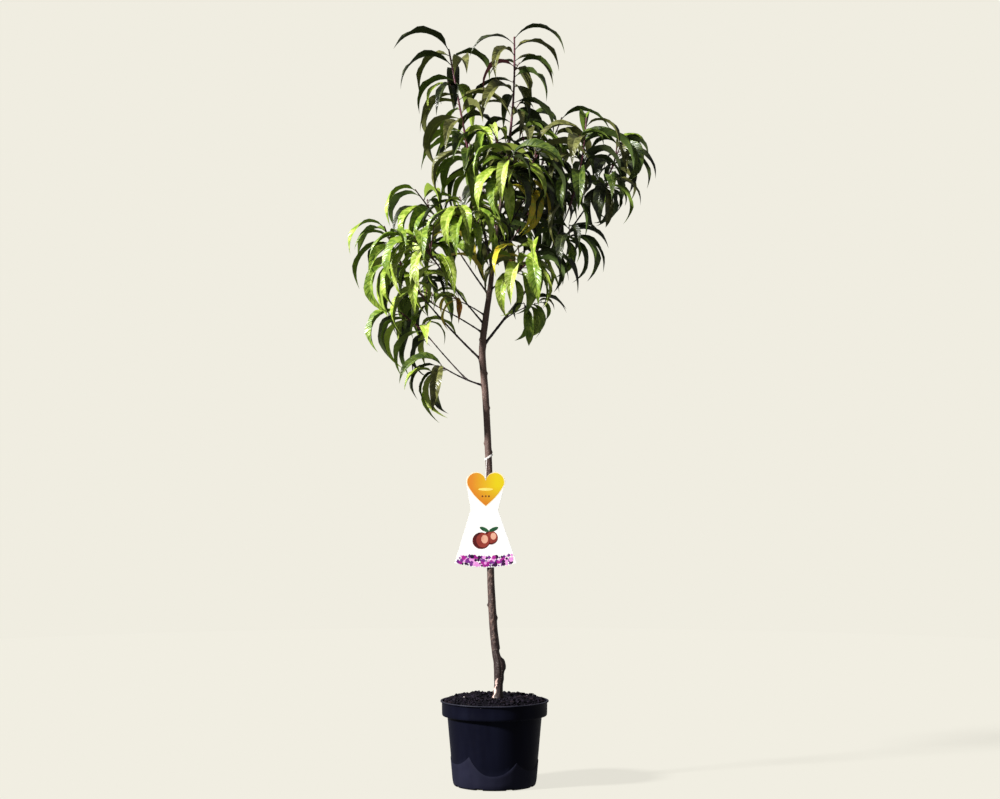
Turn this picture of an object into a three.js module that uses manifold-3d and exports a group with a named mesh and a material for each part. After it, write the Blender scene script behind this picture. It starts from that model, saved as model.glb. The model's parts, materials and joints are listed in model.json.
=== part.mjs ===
// Dwarf peach tree in a round black nursery pot: pot, potting soil, a grafted trunk with its leader,
// tapering boughs, one node of twigs and arching lance-shaped leaves for each mass of foliage,
// and a card tag that hangs from a strap round the trunk.
//
// Millimetres, +Z up, +X to the right, -Y towards the front. The origin is the centre of the pot's
// flat underside. Everything that grows follows one rule: limbs and stems are smooth curves, leaves
// sit on them at the golden angle, and each leaf is an arc that droops from its root. The crown is
// grown flat against the light, so more leaves head to the left and right than to front and back.

import * as THREE from "three";
import { mergeVertices } from "three/addons/utils/BufferGeometryUtils.js";
import Module from "manifold-3d";

const wasm = await Module();
wasm.setup();

// ---------------------------------------------------------------- driving dimensions

const CLEARANCE = 0.3; // left between neighbouring pieces

const POT = {
  height: 173,
  footRadius: 80,
  baseRadius: 84,
  baseHeight: 6,
  skirtHeight: 52,
  skirtStep: 0.9,
  bodyTopRadius: 96,
  bandBottom: 142,
  bandRadius: 107,
  lipRadius: 110,
  lipThickness: 2.6,
  wall: 1.7,
  floor: 3,
  segments: 36,
  drains: 8,
  drainWidth: 16,
  drainDepth: 20,
  drainHeight: 5,
};

const SOIL = {
  padHeight: 174, // flat where the trunk stands
  padRadius: 24,
  moundHeight: 179,
  moundRadius: 66,
  edgeHeight: 169,
  lump: 2.2,
};

// Main stem, to the point where the top shoot takes over: height, offset and radius. The first
// station lies under the soil's face, where the stem is cut flat.
const TRUNK = {
  foot: SOIL.padHeight + CLEARANCE,
  sides: 10,
  steps: 26,
  stations: [
    { z: 170, x: 6, y: 0, r: 14.5 },
    { z: 205, x: 8, y: 0, r: 10.4 },
    { z: 242, x: 9.5, y: 0, r: 11.6 }, // graft union
    { z: 275, x: 2.5, y: 0, r: 8.8 },
    { z: 333, x: -3, y: 0, r: 8.2 },
    { z: 433, x: -8, y: 0, r: 7.4 },
    { z: 640, x: -11.5, y: 0, r: 6.9 },
    { z: 784, x: -18, y: 0, r: 6.9 },
    { z: 878, x: -25, y: 0, r: 6.9 },
    { z: 946, x: -18, y: 0, r: 6.4 },
    { z: 1009, x: -9, y: 0, r: 5.4 },
    { z: 1093, x: 0, y: 0, r: 4.3 },
    { z: 1172, x: 11, y: 0, r: 3.8 },
    { z: 1310, x: 30, y: 2, r: 3.2 },
  ],
};

// Boughs. Each leaves its parent at a height on the trunk, or at a share of a bough's length, and
// ends at its tip, where a mass of foliage takes over. lift raises the middle of its sweep.
const BOUGH = { sides: 6, steps: 4 };
const BOUGHS = [
  { name: "low_left", on: "trunk", at: 811, tip: [-92, -26, 841], lift: -6, r: [2.9, 1.9] },
  { name: "low_left_outer", on: "low_left", at: 0.5, tip: [-124, 10, 898], lift: -3, r: [2.2, 1.7] },
  { name: "left_main", on: "trunk", at: 861, tip: [-139, -26, 982], lift: -8, r: [3.4, 2.2] },
  { name: "left_back", on: "trunk", at: 917, tip: [-110, 58, 970], lift: 4, r: [2.6, 1.7] },
  { name: "left_middle", on: "trunk", at: 934, tip: [-106, -62, 1042], lift: -6, r: [2.8, 1.8] },
  { name: "left_small", on: "trunk", at: 952, tip: [-66, -42, 979], lift: 3, r: [2.2, 1.5] },
  { name: "upper_left", on: "trunk", at: 994, tip: [-76, 36, 1090], lift: -4, r: [2.9, 2.0] },
  { name: "left_leader", on: "trunk", at: 1050, tip: [-42, -28, 1226], lift: -10, r: [3.3, 2.5] },
  { name: "centre_left", on: "trunk", at: 1078, tip: [-30, -46, 1112], lift: -3, r: [2.6, 2.0] },
  { name: "centre_low", on: "trunk", at: 1004, tip: [26, -44, 1026], lift: 4, r: [2.6, 2.0] },
  { name: "centre_front", on: "trunk", at: 1135, tip: [20, -66, 1200], lift: -6, r: [2.7, 2.0] },
  { name: "front_right", on: "trunk", at: 1170, tip: [42, -46, 1206], lift: -3, r: [2.5, 1.9] },
  { name: "right_main", on: "trunk", at: 890, tip: [229, 20, 1236], lift: -14, r: [4.2, 2.0] },
  { name: "right_low", on: "right_main", at: 0.17, tip: [56, -32, 966], lift: 3, r: [2.0, 1.5] },
  { name: "right_hanging", on: "right_main", at: 0.55, tip: [133, -34, 1100], lift: 3, r: [2.0, 1.5] },
  { name: "right_front", on: "right_main", at: 0.47, tip: [143, -42, 1150], lift: -4, r: [2.5, 1.9] },
  { name: "right_outer", on: "right_main", at: 0.84, tip: [214, -22, 1204], lift: 2, r: [1.9, 1.5] },
  { name: "right_inner", on: "trunk", at: 1094, tip: [56, 26, 1182], lift: -6, r: [2.9, 2.1] },
  { name: "back", on: "trunk", at: 1024, tip: [0, 72, 1090], lift: -6, r: [3.0, 2.1] },
  { name: "back_left", on: "trunk", at: 1150, tip: [-22, 58, 1212], lift: -4, r: [2.6, 1.9] },
  { name: "back_right", on: "trunk", at: 1060, tip: [44, 72, 1124], lift: -6, r: [2.9, 2.0] },
];

// Masses of foliage. Each grows from the tip of its limb, or straight from the trunk at a height,
// to its own tip. leaves is the number on its stem, and twigs the number of its side shoots. leaf is
// the length of a full leaf, and droop the whole turn of its arc, in degrees.
const USUAL_MASS = { twigs: 0, twigLength: 55, twigLeaves: 3, droop: 136 };
const MASSES = [
  { name: "top", on: "trunk", tip: [40, 4, 1520], leaves: 18, leaf: 128, droop: 128 },
  { name: "leader_left", on: "trunk", at: 1258, tip: [-6, -34, 1338], leaves: 8, leaf: 128 },
  { name: "leader_right", on: "trunk", at: 1230, tip: [76, -22, 1318], leaves: 10, leaf: 128 },
  { name: "left_leader", on: "left_leader", tip: [-93, 2, 1494], leaves: 25, leaf: 146, droop: 136 },
  { name: "upper_left", on: "upper_left", tip: [-163, 40, 1213], leaves: 12, twigs: 1, leaf: 132 },
  { name: "left_outer", on: "left_main", tip: [-222, -44, 1132], leaves: 15, twigs: 1, leaf: 132 },
  { name: "left_middle", on: "left_middle", tip: [-158, -92, 1108], leaves: 13, twigs: 1, leaf: 134 },
  { name: "left_back", on: "left_back", tip: [-176, 100, 1030], leaves: 10, twigs: 1, leaf: 128 },
  { name: "low_left_outer", on: "low_left_outer", tip: [-197, 30, 964], leaves: 12, leaf: 132 },
  { name: "low_left", on: "low_left", tip: [-114, -38, 850], leaves: 6, leaf: 128 },
  { name: "left_small", on: "left_small", tip: [-86, -56, 992], leaves: 4, leaf: 92 },
  { name: "centre_left", on: "centre_left", tip: [-64, -84, 1176], leaves: 13, twigs: 1, leaf: 132 },
  { name: "centre_low", on: "centre_low", tip: [84, -98, 1080], leaves: 14, twigs: 1, leaf: 134 },
  { name: "centre_front", on: "centre_front", tip: [29, -122, 1266], leaves: 14, leaf: 136 },
  { name: "front_right", on: "front_right", tip: [86, -92, 1270], leaves: 11, leaf: 128 },
  { name: "right_tip", on: "right_main", tip: [250, 26, 1318], leaves: 14, twigs: 1, leaf: 114, droop: 150 },
  { name: "right_outer", on: "right_outer", tip: [228, -54, 1214], leaves: 8, leaf: 118, droop: 142 },
  { name: "right_front", on: "right_front", tip: [184, -64, 1348], leaves: 15, twigs: 1, leaf: 134 },
  { name: "right_inner", on: "right_inner", tip: [138, 52, 1362], leaves: 15, twigs: 1, leaf: 132 },
  { name: "right_hanging", on: "right_hanging", tip: [158, -74, 1112], leaves: 6, leaf: 118 },
  { name: "right_low", on: "right_low", tip: [72, -50, 976], leaves: 7, leaf: 94 },
  { name: "back", on: "back", tip: [14, 172, 1204], leaves: 13, twigs: 2, leaf: 132 },
  { name: "back_left", on: "back_left", tip: [-54, 124, 1322], leaves: 13, twigs: 1, leaf: 132 },
  { name: "back_right", on: "back_right", tip: [114, 154, 1250], leaves: 14, twigs: 1, leaf: 132 },
].map((spec, i) => ({ ...USUAL_MASS, seed: 11 * (i + 1), ...spec }));

const STEM = { radius: [1.8, 1.2], sides: 4, steps: 5, firstLeaf: 0.1, sweep: 0.45 };
const TWIG = {
  radius: [1.3, 1.1],
  sides: 4,
  steps: 2,
  firstLeaf: 0.25,
  place: [0.2, 0.75], // shares of the stem between which twigs leave it
  open: 46,
  rise: 0.12,
  lengthSpread: [0.85, 1.15],
};
const LEAF = {
  spineSteps: 12, // the arc is summed over this many steps
  stations: [0, 4, 8], // steps at which the blade has a section
  settle: 1.2, // above 1, more of the droop comes early and the blade then hangs
  root: 0.6, // radius of the sunk root
  petiole: 0.07,
  outline: [0.75, 1.1], // powers that set where the blade is widest and how it tapers
  fold: 0.22, // how far the edges stand above the midrib, as a share of half the width
  thickness: 1.3,
  lengthSpread: [0.82, 1.12],
  widthSpread: [0.165, 0.22], // width as a share of length
  flatten: 0.6, // below 1, headings turn from front and back towards left and right
  droopSpread: [0.8, 1.15],
  roll: [-28, 28],
  twist: [-35, 35],
  sway: [-0.1, 0.1],
  steepest: [-0.7, 0.85], // limits of the direction's upward part at the root
  open: [48, 66], // angle between shoot and leaf at the root, in degrees
  jitter: [-0.3, 0.3], // spread of the turn round the shoot, in radians
  upright: 0.5, // share by which the opening closes at a shoot's tip
  tries: 9,
  retryTurn: 26,
  envelope: 0.8, // kept clear round a leaf
  sharedRoot: 14, // leaves of a mass whose roots are nearer than this may cross
};

// Guards are the plain three-sided lengths of limb and stem that leaves are tested against.
const GUARD = { extra: 1.2, sides: 3, trunk: 26, bough: 5, stem: 4, twig: 1 };

const TAG = {
  thickness: 1,
  top: 636,
  heartWidth: 79,
  waistHeight: 560,
  waistWidth: 60,
  hemHeight: 451,
  hemWidth: 126,
  hemDrop: 8.5,
  centreX: -18,
  backY: -8.7,
};

const STRAP = {
  height: 666,
  width: 5,
  thickness: 0.8,
  tilt: 34,
  segments: 28,
  tailWidth: 3.4,
  tailLength: 53,
  tailLean: 3,
};

const GOLDEN_ANGLE = THREE.MathUtils.degToRad(137.508);
const UP = new THREE.Vector3(0, 0, 1);

// ---------------------------------------------------------------- solids

// A closed three.js geometry as a manifold solid.
function toSolid(geometry) {
  const bare = geometry.index ? geometry.toNonIndexed() : geometry.clone();
  for (const name of Object.keys(bare.attributes)) {
    if (name !== "position") bare.deleteAttribute(name);
  }
  const merged = mergeVertices(bare, 1e-4);
  const mesh = new wasm.Mesh({
    numProp: 3,
    vertProperties: merged.attributes.position.array,
    triVerts: new Uint32Array(merged.index.array),
  });
  return new wasm.Manifold(mesh);
}

// A manifold solid as a three.js geometry.
function toGeometry(solid) {
  const mesh = solid.getMesh();
  const positions = new Float32Array(mesh.numVert * 3);
  for (let i = 0; i < mesh.numVert; i++) {
    positions.set(mesh.vertProperties.subarray(i * mesh.numProp, i * mesh.numProp + 3), i * 3);
  }
  return new THREE.BufferGeometry()
    .setAttribute("position", new THREE.BufferAttribute(positions, 3))
    .setIndex(new THREE.BufferAttribute(mesh.triVerts, 1));
}

// The one outer body of a solid: scraps are dropped and sealed hollows filled.
function outerBody(solid) {
  return solid.decompose().sort((a, b) => b.volume() - a.volume())[0];
}

// Faces of a skin over rings of equal point count, from a flat end to a flat end or a point.
function skinFaces(ringCount, sides, pointed) {
  const faces = [];
  for (let k = 1; k < sides - 1; k++) faces.push([0, k + 1, k]);
  for (let i = 0; i < ringCount - 1; i++) {
    for (let k = 0; k < sides; k++) {
      const a = i * sides + k;
      const b = i * sides + ((k + 1) % sides);
      faces.push([a, b, b + sides], [a, b + sides, a + sides]);
    }
  }
  const last = (ringCount - 1) * sides;
  if (pointed) {
    for (let k = 0; k < sides; k++) faces.push([last + k, last + ((k + 1) % sides), last + sides]);
  } else {
    for (let k = 1; k < sides - 1; k++) faces.push([last, last + k, last + k + 1]);
  }
  return faces;
}

function geometryOf(shape) {
  return new THREE.BufferGeometry()
    .setAttribute("position", new THREE.Float32BufferAttribute(shape.points.flatMap((p) => p.toArray()), 3))
    .setIndex(shape.faces.flat());
}

// ---------------------------------------------------------------- limbs, stems and twigs

// A square frame across a direction: the first axis is level.
function crossAxes(along) {
  const level = new THREE.Vector3().crossVectors(UP, along);
  if (level.length() < 1e-3) level.set(1, 0, 0);
  level.normalize();
  return [level, new THREE.Vector3().crossVectors(along, level)];
}

// A tapering tube along a curve: points and faces, each ring square to the curve.
function tube(curve, radiusAt, sides, steps, extra = 0, from = 0, to = 1) {
  const points = [];
  let side = null;
  for (let i = 0; i <= steps; i++) {
    const t = from + ((to - from) * i) / steps;
    const along = curve.getTangent(t);
    side = side ? side.addScaledVector(along, -side.dot(along)).normalize() : crossAxes(along)[0];
    const other = new THREE.Vector3().crossVectors(along, side);
    for (let k = 0; k < sides; k++) {
      const angle = (2 * Math.PI * k) / sides;
      const radius = radiusAt(t) + extra;
      points.push(
        curve.getPoint(t)
          .addScaledVector(side, radius * Math.cos(angle))
          .addScaledVector(other, radius * Math.sin(angle)),
      );
    }
  }
  return { points, faces: skinFaces(steps + 1, sides, false) };
}

const linearTaper = ([start, end]) => (t) => start + (end - start) * t;

// The trunk's curve passes through its stations, and its radius is read between them.
function makeTrunk() {
  const stations = TRUNK.stations;
  const curve = new THREE.CatmullRomCurve3(
    stations.map((s) => new THREE.Vector3(s.x, s.y, s.z)), false, "catmullrom", 0.5,
  );
  const radiusAt = (t) => {
    const place = Math.min(t * (stations.length - 1), stations.length - 1 - 1e-9);
    const i = Math.floor(place);
    return stations[i].r + (stations[i + 1].r - stations[i].r) * (place - i);
  };
  return { name: "trunk", curve, radiusAt, sides: TRUNK.sides, steps: TRUNK.steps };
}

// Share of the trunk's curve at which it reaches a height.
function shareAtHeight(curve, height) {
  let low = 0;
  let high = 1;
  for (let i = 0; i < 40; i++) {
    const middle = (low + high) / 2;
    if (curve.getPoint(middle).z < height) low = middle;
    else high = middle;
  }
  return low;
}

function makeBough(spec, limbs) {
  const parent = limbs.get(spec.on);
  const share = spec.on === "trunk" ? shareAtHeight(parent.curve, spec.at) : spec.at;
  const start = parent.curve.getPoint(share);
  const tip = new THREE.Vector3(...spec.tip);
  const bend = start.clone().add(tip).multiplyScalar(0.5).addScaledVector(UP, spec.lift);
  const curve = new THREE.QuadraticBezierCurve3(start, bend, tip);
  return { name: `bough_${spec.name}`, parent, curve, radiusAt: linearTaper(spec.r), ...BOUGH };
}

// A limb grown by the clearance, to cut what it carries.
function clearOf({ curve, radiusAt, sides, steps }) {
  return toSolid(geometryOf(tube(curve, radiusAt, sides, steps, CLEARANCE)));
}

// A limb's solid, cut clear of the limb that carries it. The trunk is cut flat above the soil.
function limbSolid(limb) {
  const solid = toSolid(geometryOf(tube(limb.curve, limb.radiusAt, limb.sides, limb.steps)));
  if (!limb.parent) return solid.trimByPlane([0, 0, 1], TRUNK.foot);
  return outerBody(solid.subtract(clearOf(limb.parent)));
}

// The stem of a mass goes on from its limb's tip, in the limb's direction, and bends to its own tip.
// One that leaves the trunk lower down starts at the trunk's middle, straight towards its tip.
function makeStem(spec, limbs) {
  const limb = limbs.get(spec.on);
  const tip = new THREE.Vector3(...spec.tip);
  const start = limb.curve.getPoint(spec.at ? shareAtHeight(limb.curve, spec.at) : 1);
  const along = spec.at ? tip.clone().sub(start).normalize() : limb.curve.getTangent(1);
  if (!spec.at) start.addScaledVector(along, CLEARANCE);
  const bend = start.clone().addScaledVector(along, STEM.sweep * start.distanceTo(tip));
  const curve = new THREE.QuadraticBezierCurve3(start, bend, tip);
  const radius = [Math.min(STEM.radius[0], limb.radiusAt(1)), STEM.radius[1]];
  return { curve, radiusAt: linearTaper(radius), sides: STEM.sides, steps: STEM.steps };
}

// ---------------------------------------------------------------- the seeded rule

// A repeatable stream of numbers from 0 to 1 for one shoot or one try of one leaf.
function seededRandom(...keys) {
  let state = 1;
  const next = () => {
    state = (Math.imul(state, 1664525) + 1013904223) >>> 0;
    return state / 4294967296;
  };
  for (const key of keys) {
    state = (state ^ Math.imul(key + 1, 2654435761)) >>> 0;
    next();
  }
  return next;
}

const between = (random, [low, high]) => low + (high - low) * random();
const degreesBetween = (random, range) => THREE.MathUtils.degToRad(between(random, range));

// Direction that leaves a shoot at an opening angle, turned round it by azimuth.
function branchDirection(along, azimuth, open) {
  const [level, upper] = crossAxes(along);
  return along.clone().multiplyScalar(Math.cos(open))
    .addScaledVector(level, Math.sin(open) * Math.cos(azimuth))
    .addScaledVector(upper, Math.sin(open) * Math.sin(azimuth));
}

// Side twigs of a mass: evenly spread along the stem, turned by the golden angle.
function makeTwigs(spec, stem) {
  const twigs = [];
  for (let i = 0; i < spec.twigs; i++) {
    const random = seededRandom(spec.seed, i);
    const share = TWIG.place[0] + ((TWIG.place[1] - TWIG.place[0]) * (i + 0.5)) / spec.twigs;
    const root = stem.curve.getPoint(share);
    const azimuth = 2 * Math.PI * random() + i * GOLDEN_ANGLE;
    const open = THREE.MathUtils.degToRad(TWIG.open);
    const direction = branchDirection(stem.curve.getTangent(share), azimuth, open);
    const length = spec.twigLength * between(random, TWIG.lengthSpread);
    const bend = root.clone().addScaledVector(direction, 0.5 * length);
    const tip = root.clone().addScaledVector(direction, length).addScaledVector(UP, TWIG.rise * length);
    const curve = new THREE.QuadraticBezierCurve3(root, bend, tip);
    twigs.push({ curve, radiusAt: linearTaper(TWIG.radius), sides: TWIG.sides, steps: TWIG.steps });
  }
  return twigs;
}

// A leaf's arc: it leaves its root at a rise and turns down by droop over its length.
function makeLeaf(root, direction, spec, random) {
  const heading = new THREE.Vector3(direction.x, LEAF.flatten * direction.y, 0).normalize();
  const length = spec.leaf * between(random, LEAF.lengthSpread);
  return {
    root,
    heading,
    length,
    rise: Math.asin(THREE.MathUtils.clamp(direction.z, ...LEAF.steepest)),
    droop: THREE.MathUtils.degToRad(spec.droop) * between(random, LEAF.droopSpread),
    width: length * between(random, LEAF.widthSpread),
    roll: degreesBetween(random, LEAF.roll),
    twist: degreesBetween(random, LEAF.twist),
    sway: between(random, LEAF.sway),
  };
}

// A level heading tipped up by a slope.
function sloped(heading, slope) {
  return heading.clone().multiplyScalar(Math.cos(slope)).addScaledVector(UP, Math.sin(slope));
}

// Slope of a leaf at a share of its length.
const slopeAt = (leaf, s) => leaf.rise - leaf.droop * (1 - (1 - s) ** LEAF.settle);

// Centre and axes of a leaf after a number of steps along its arc.
function leafFrame(leaf, step) {
  const s = step / LEAF.spineSteps;
  const level = new THREE.Vector3().crossVectors(UP, leaf.heading);
  const centre = leaf.root.clone().addScaledVector(level, leaf.sway * leaf.length * s * s);
  for (let i = 0; i < step; i++) {
    const middle = slopeAt(leaf, (i + 0.5) / LEAF.spineSteps);
    centre.addScaledVector(sloped(leaf.heading, middle), leaf.length / LEAF.spineSteps);
  }
  const along = sloped(leaf.heading, slopeAt(leaf, s));
  const normal = new THREE.Vector3().crossVectors(along, level);
  const turn = leaf.roll + leaf.twist * s;
  const across = level.clone().multiplyScalar(Math.cos(turn)).addScaledVector(normal, Math.sin(turn));
  const face = normal.clone().multiplyScalar(Math.cos(turn)).addScaledVector(level, -Math.sin(turn));
  return { centre, across, face };
}

// Half the blade's width at a share of the leaf's length: a lance with a long point.
function halfWidth(leaf, s) {
  const [forward, taper] = LEAF.outline;
  const u = THREE.MathUtils.clamp((s - LEAF.petiole) / (1 - LEAF.petiole), 0, 1);
  return Math.max(LEAF.root, (leaf.width / 2) * Math.sin(Math.PI * u ** forward) ** taper);
}

// A leaf as a skin of three-sided sections: two edges and the midrib's keel, closed in a point.
function leafShape(leaf, extra = 0) {
  const points = [];
  for (const step of LEAF.stations) {
    const { centre, across, face } = leafFrame(leaf, step);
    const half = halfWidth(leaf, step / LEAF.spineSteps) + extra;
    const lift = step === 0 ? 0.5 * LEAF.root : LEAF.fold * half + extra;
    const keel = step === 0 ? LEAF.root : LEAF.thickness + extra;
    points.push(
      centre.clone().addScaledVector(across, half).addScaledVector(face, lift),
      centre.clone().addScaledVector(across, -half).addScaledVector(face, lift),
      centre.clone().addScaledVector(face, -keel),
    );
  }
  points.push(leafFrame(leaf, LEAF.spineSteps).centre);
  return { points, faces: skinFaces(LEAF.stations.length, 3, true) };
}

// ---------------------------------------------------------------- keeping clear

// A shape with its edges and bounding ball, ready for the crossing test.
function guarded(shape, owner) {
  const edges = new Map();
  for (const [a, b, c] of shape.faces) {
    for (const [p, q] of [[a, b], [b, c], [c, a]]) {
      edges.set(Math.min(p, q) * 1e5 + Math.max(p, q), [p, q]);
    }
  }
  const box = new THREE.Box3().setFromPoints(shape.points);
  const ball = box.getBoundingSphere(new THREE.Sphere());
  return { ...shape, edges: [...edges.values()], ball, owner };
}

// Whether an edge from p to q passes through the triangle a, b, c.
function pierces(p, q, a, b, c) {
  const ux = q.x - p.x, uy = q.y - p.y, uz = q.z - p.z;
  const ex = b.x - a.x, ey = b.y - a.y, ez = b.z - a.z;
  const fx = c.x - a.x, fy = c.y - a.y, fz = c.z - a.z;
  const hx = uy * fz - uz * fy, hy = uz * fx - ux * fz, hz = ux * fy - uy * fx;
  const d = ex * hx + ey * hy + ez * hz;
  if (Math.abs(d) < 1e-9) return false;
  const sx = p.x - a.x, sy = p.y - a.y, sz = p.z - a.z;
  const u = (sx * hx + sy * hy + sz * hz) / d;
  if (u < 0 || u > 1) return false;
  const qx = sy * ez - sz * ey, qy = sz * ex - sx * ez, qz = sx * ey - sy * ex;
  const v = (ux * qx + uy * qy + uz * qz) / d;
  if (v < 0 || u + v > 1) return false;
  const t = (fx * qx + fy * qy + fz * qz) / d;
  return t >= 0 && t <= 1;
}

function edgesPierce(one, other) {
  return one.edges.some(([p, q]) =>
    other.faces.some(([a, b, c]) =>
      pierces(one.points[p], one.points[q], other.points[a], other.points[b], other.points[c])));
}

function touches(one, other) {
  if (one.ball.center.distanceTo(other.ball.center) > one.ball.radius + other.ball.radius) return false;
  return edgesPierce(one, other) || edgesPierce(other, one);
}

// ---------------------------------------------------------------- growing the crown

const limbs = new Map([["trunk", makeTrunk()]]);
for (const spec of BOUGHS) limbs.set(spec.name, makeBough(spec, limbs));

// Everything that later leaves keep clear of, in short lengths so that the balls stay small.
const placed = [];
function guardTube({ curve, radiusAt }, owner, lengths) {
  for (let i = 0; i < lengths; i++) {
    const shape = tube(curve, radiusAt, GUARD.sides, 1, GUARD.extra, i / lengths, (i + 1) / lengths);
    placed.push(guarded(shape, owner));
  }
}
for (const limb of limbs.values()) guardTube(limb, limb.name, limb.parent ? GUARD.bough : GUARD.trunk);

const masses = MASSES.map((spec) => {
  const stem = makeStem(spec, limbs);
  return { spec, stem, twigs: makeTwigs(spec, stem), leaves: [] };
});
for (const mass of masses) {
  guardTube(mass.stem, mass.spec.name, GUARD.stem);
  for (const twig of mass.twigs) guardTube(twig, mass.spec.name, GUARD.twig);
}

// One try at a leaf: a later try turns it further round its shoot, to either side in turn.
function tryLeaf(spec, shoot, shootNumber, i, count, firstShare, attempt) {
  const random = seededRandom(spec.seed, shootNumber, i, attempt);
  const share = firstShare + ((1 - firstShare) * (i + 0.6)) / count;
  const turn = THREE.MathUtils.degToRad(LEAF.retryTurn) * Math.ceil(attempt / 2) * (attempt % 2 ? 1 : -1);
  const azimuth = spec.seed + i * GOLDEN_ANGLE + turn + between(random, LEAF.jitter);
  const open = degreesBetween(random, LEAF.open) * (1 - LEAF.upright * share ** 6);
  const direction = branchDirection(shoot.curve.getTangent(share), azimuth, open);
  return makeLeaf(shoot.curve.getPoint(share), direction, spec, random);
}

// Whether a leaf would touch anything but its own mass's wood and the leaves that share its root.
function isBlocked(leaf, guard) {
  return placed.some((other) => {
    if (other.owner === guard.owner && !other.leaf) return false;
    if (other.owner === guard.owner && other.leaf.root.distanceTo(leaf.root) < LEAF.sharedRoot) return false;
    return touches(guard, other);
  });
}

// Leaves along one shoot. A leaf that finds no clear place is skipped.
function growLeaves(mass, shoot, shootNumber, count, firstShare) {
  for (let i = 0; i < count; i++) {
    for (let attempt = 0; attempt < LEAF.tries; attempt++) {
      const leaf = tryLeaf(mass.spec, shoot, shootNumber, i, count, firstShare, attempt);
      const guard = guarded(leafShape(leaf, LEAF.envelope), mass.spec.name);
      if (isBlocked(leaf, guard)) continue;
      placed.push({ ...guard, leaf });
      mass.leaves.push(leaf);
      break;
    }
  }
}
for (const mass of masses) {
  growLeaves(mass, mass.stem, 0, mass.spec.leaves, STEM.firstLeaf);
  mass.twigs.forEach((twig, n) => growLeaves(mass, twig, n + 1, mass.spec.twigLeaves, TWIG.firstLeaf));
}

function massSolid(mass) {
  const shoots = [mass.stem, ...mass.twigs];
  const wood = shoots.map((s) => toSolid(geometryOf(tube(s.curve, s.radiusAt, s.sides, s.steps))));
  const blades = mass.leaves.map((leaf) => toSolid(geometryOf(leafShape(leaf))));
  const whole = wasm.Manifold.union([...wood, ...blades]);
  return outerBody(mass.spec.at ? whole.subtract(clearOf(limbs.get(mass.spec.on))) : whole);
}

// ---------------------------------------------------------------- pot, soil and tag

function lathe(profile, segments) {
  const geometry = new THREE.LatheGeometry(profile.map(([r, z]) => new THREE.Vector2(r, z)), segments);
  return geometry.rotateX(Math.PI / 2);
}

// Outer radius of the pot's body at a height between its base and the band.
function bodyRadius(z) {
  const share = (z - POT.baseHeight) / (POT.bandBottom - POT.baseHeight);
  return POT.baseRadius + (POT.bodyTopRadius - POT.baseRadius) * share;
}

function potSolid() {
  const innerBand = POT.bandRadius - POT.wall;
  const profile = [
    [0, 0],
    [POT.footRadius, 0],
    [POT.baseRadius, POT.baseHeight],
    [bodyRadius(POT.skirtHeight) + POT.skirtStep, POT.skirtHeight],
    [bodyRadius(POT.skirtHeight + 2), POT.skirtHeight + 2],
    [POT.bodyTopRadius, POT.bandBottom],
    [POT.bandRadius - 1.5, POT.bandBottom + 1],
    [POT.bandRadius, POT.height - POT.lipThickness],
    [POT.lipRadius, POT.height - POT.lipThickness + 0.6],
    [POT.lipRadius, POT.height],
    [innerBand, POT.height],
    [innerBand - 1.2, POT.bandBottom + 4],
    [POT.bodyTopRadius - POT.wall, POT.bandBottom],
    [bodyRadius(POT.floor + 4) - POT.wall, POT.floor + 4],
    [POT.footRadius - POT.wall, POT.floor],
    [0, POT.floor],
  ];
  let solid = toSolid(lathe(profile, POT.segments));
  for (let i = 0; i < POT.drains; i++) {
    const angle = (2 * Math.PI * (i + 0.5)) / POT.drains;
    const slot = new THREE.BoxGeometry(POT.drainDepth, POT.drainWidth, POT.drainHeight + 1);
    slot.translate(POT.footRadius, 0, (POT.drainHeight - 1) / 2).rotateZ(angle);
    solid = solid.subtract(toSolid(slot));
  }
  return outerBody(solid);
}

// A repeatable height for each place on the soil, between -1 and 1.
function soilLump(x, y) {
  return Math.sin(x * 0.31 + 1.3) * Math.cos(y * 0.27 - 0.6) + 0.5 * Math.sin(x * 0.13 - y * 0.19);
}

function soilSolid() {
  const gap = POT.wall + CLEARANCE;
  const profile = [
    [0, POT.floor + CLEARANCE],
    [POT.footRadius - gap - 1, POT.floor + CLEARANCE],
    [bodyRadius(POT.floor + 4) - gap - 0.5, POT.floor + 4.5],
    [POT.bodyTopRadius - gap, POT.bandBottom + CLEARANCE],
    [POT.bandRadius - 1.2 - gap, POT.bandBottom + 5],
    [POT.bandRadius - gap, SOIL.edgeHeight],
    [SOIL.moundRadius + 14, SOIL.moundHeight - 1],
    [SOIL.moundRadius - 10, SOIL.moundHeight],
    [SOIL.padRadius, SOIL.padHeight],
    [0, SOIL.padHeight],
  ];
  const geometry = lathe(profile, POT.segments);
  const position = geometry.attributes.position;
  for (let i = 0; i < position.count; i++) {
    const [x, y, z] = [position.getX(i), position.getY(i), position.getZ(i)];
    if (z > SOIL.edgeHeight + 1 && Math.hypot(x, y) > SOIL.padRadius + 2) {
      position.setZ(i, z + SOIL.lump * soilLump(x, y));
    }
  }
  return toSolid(geometry);
}

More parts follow.
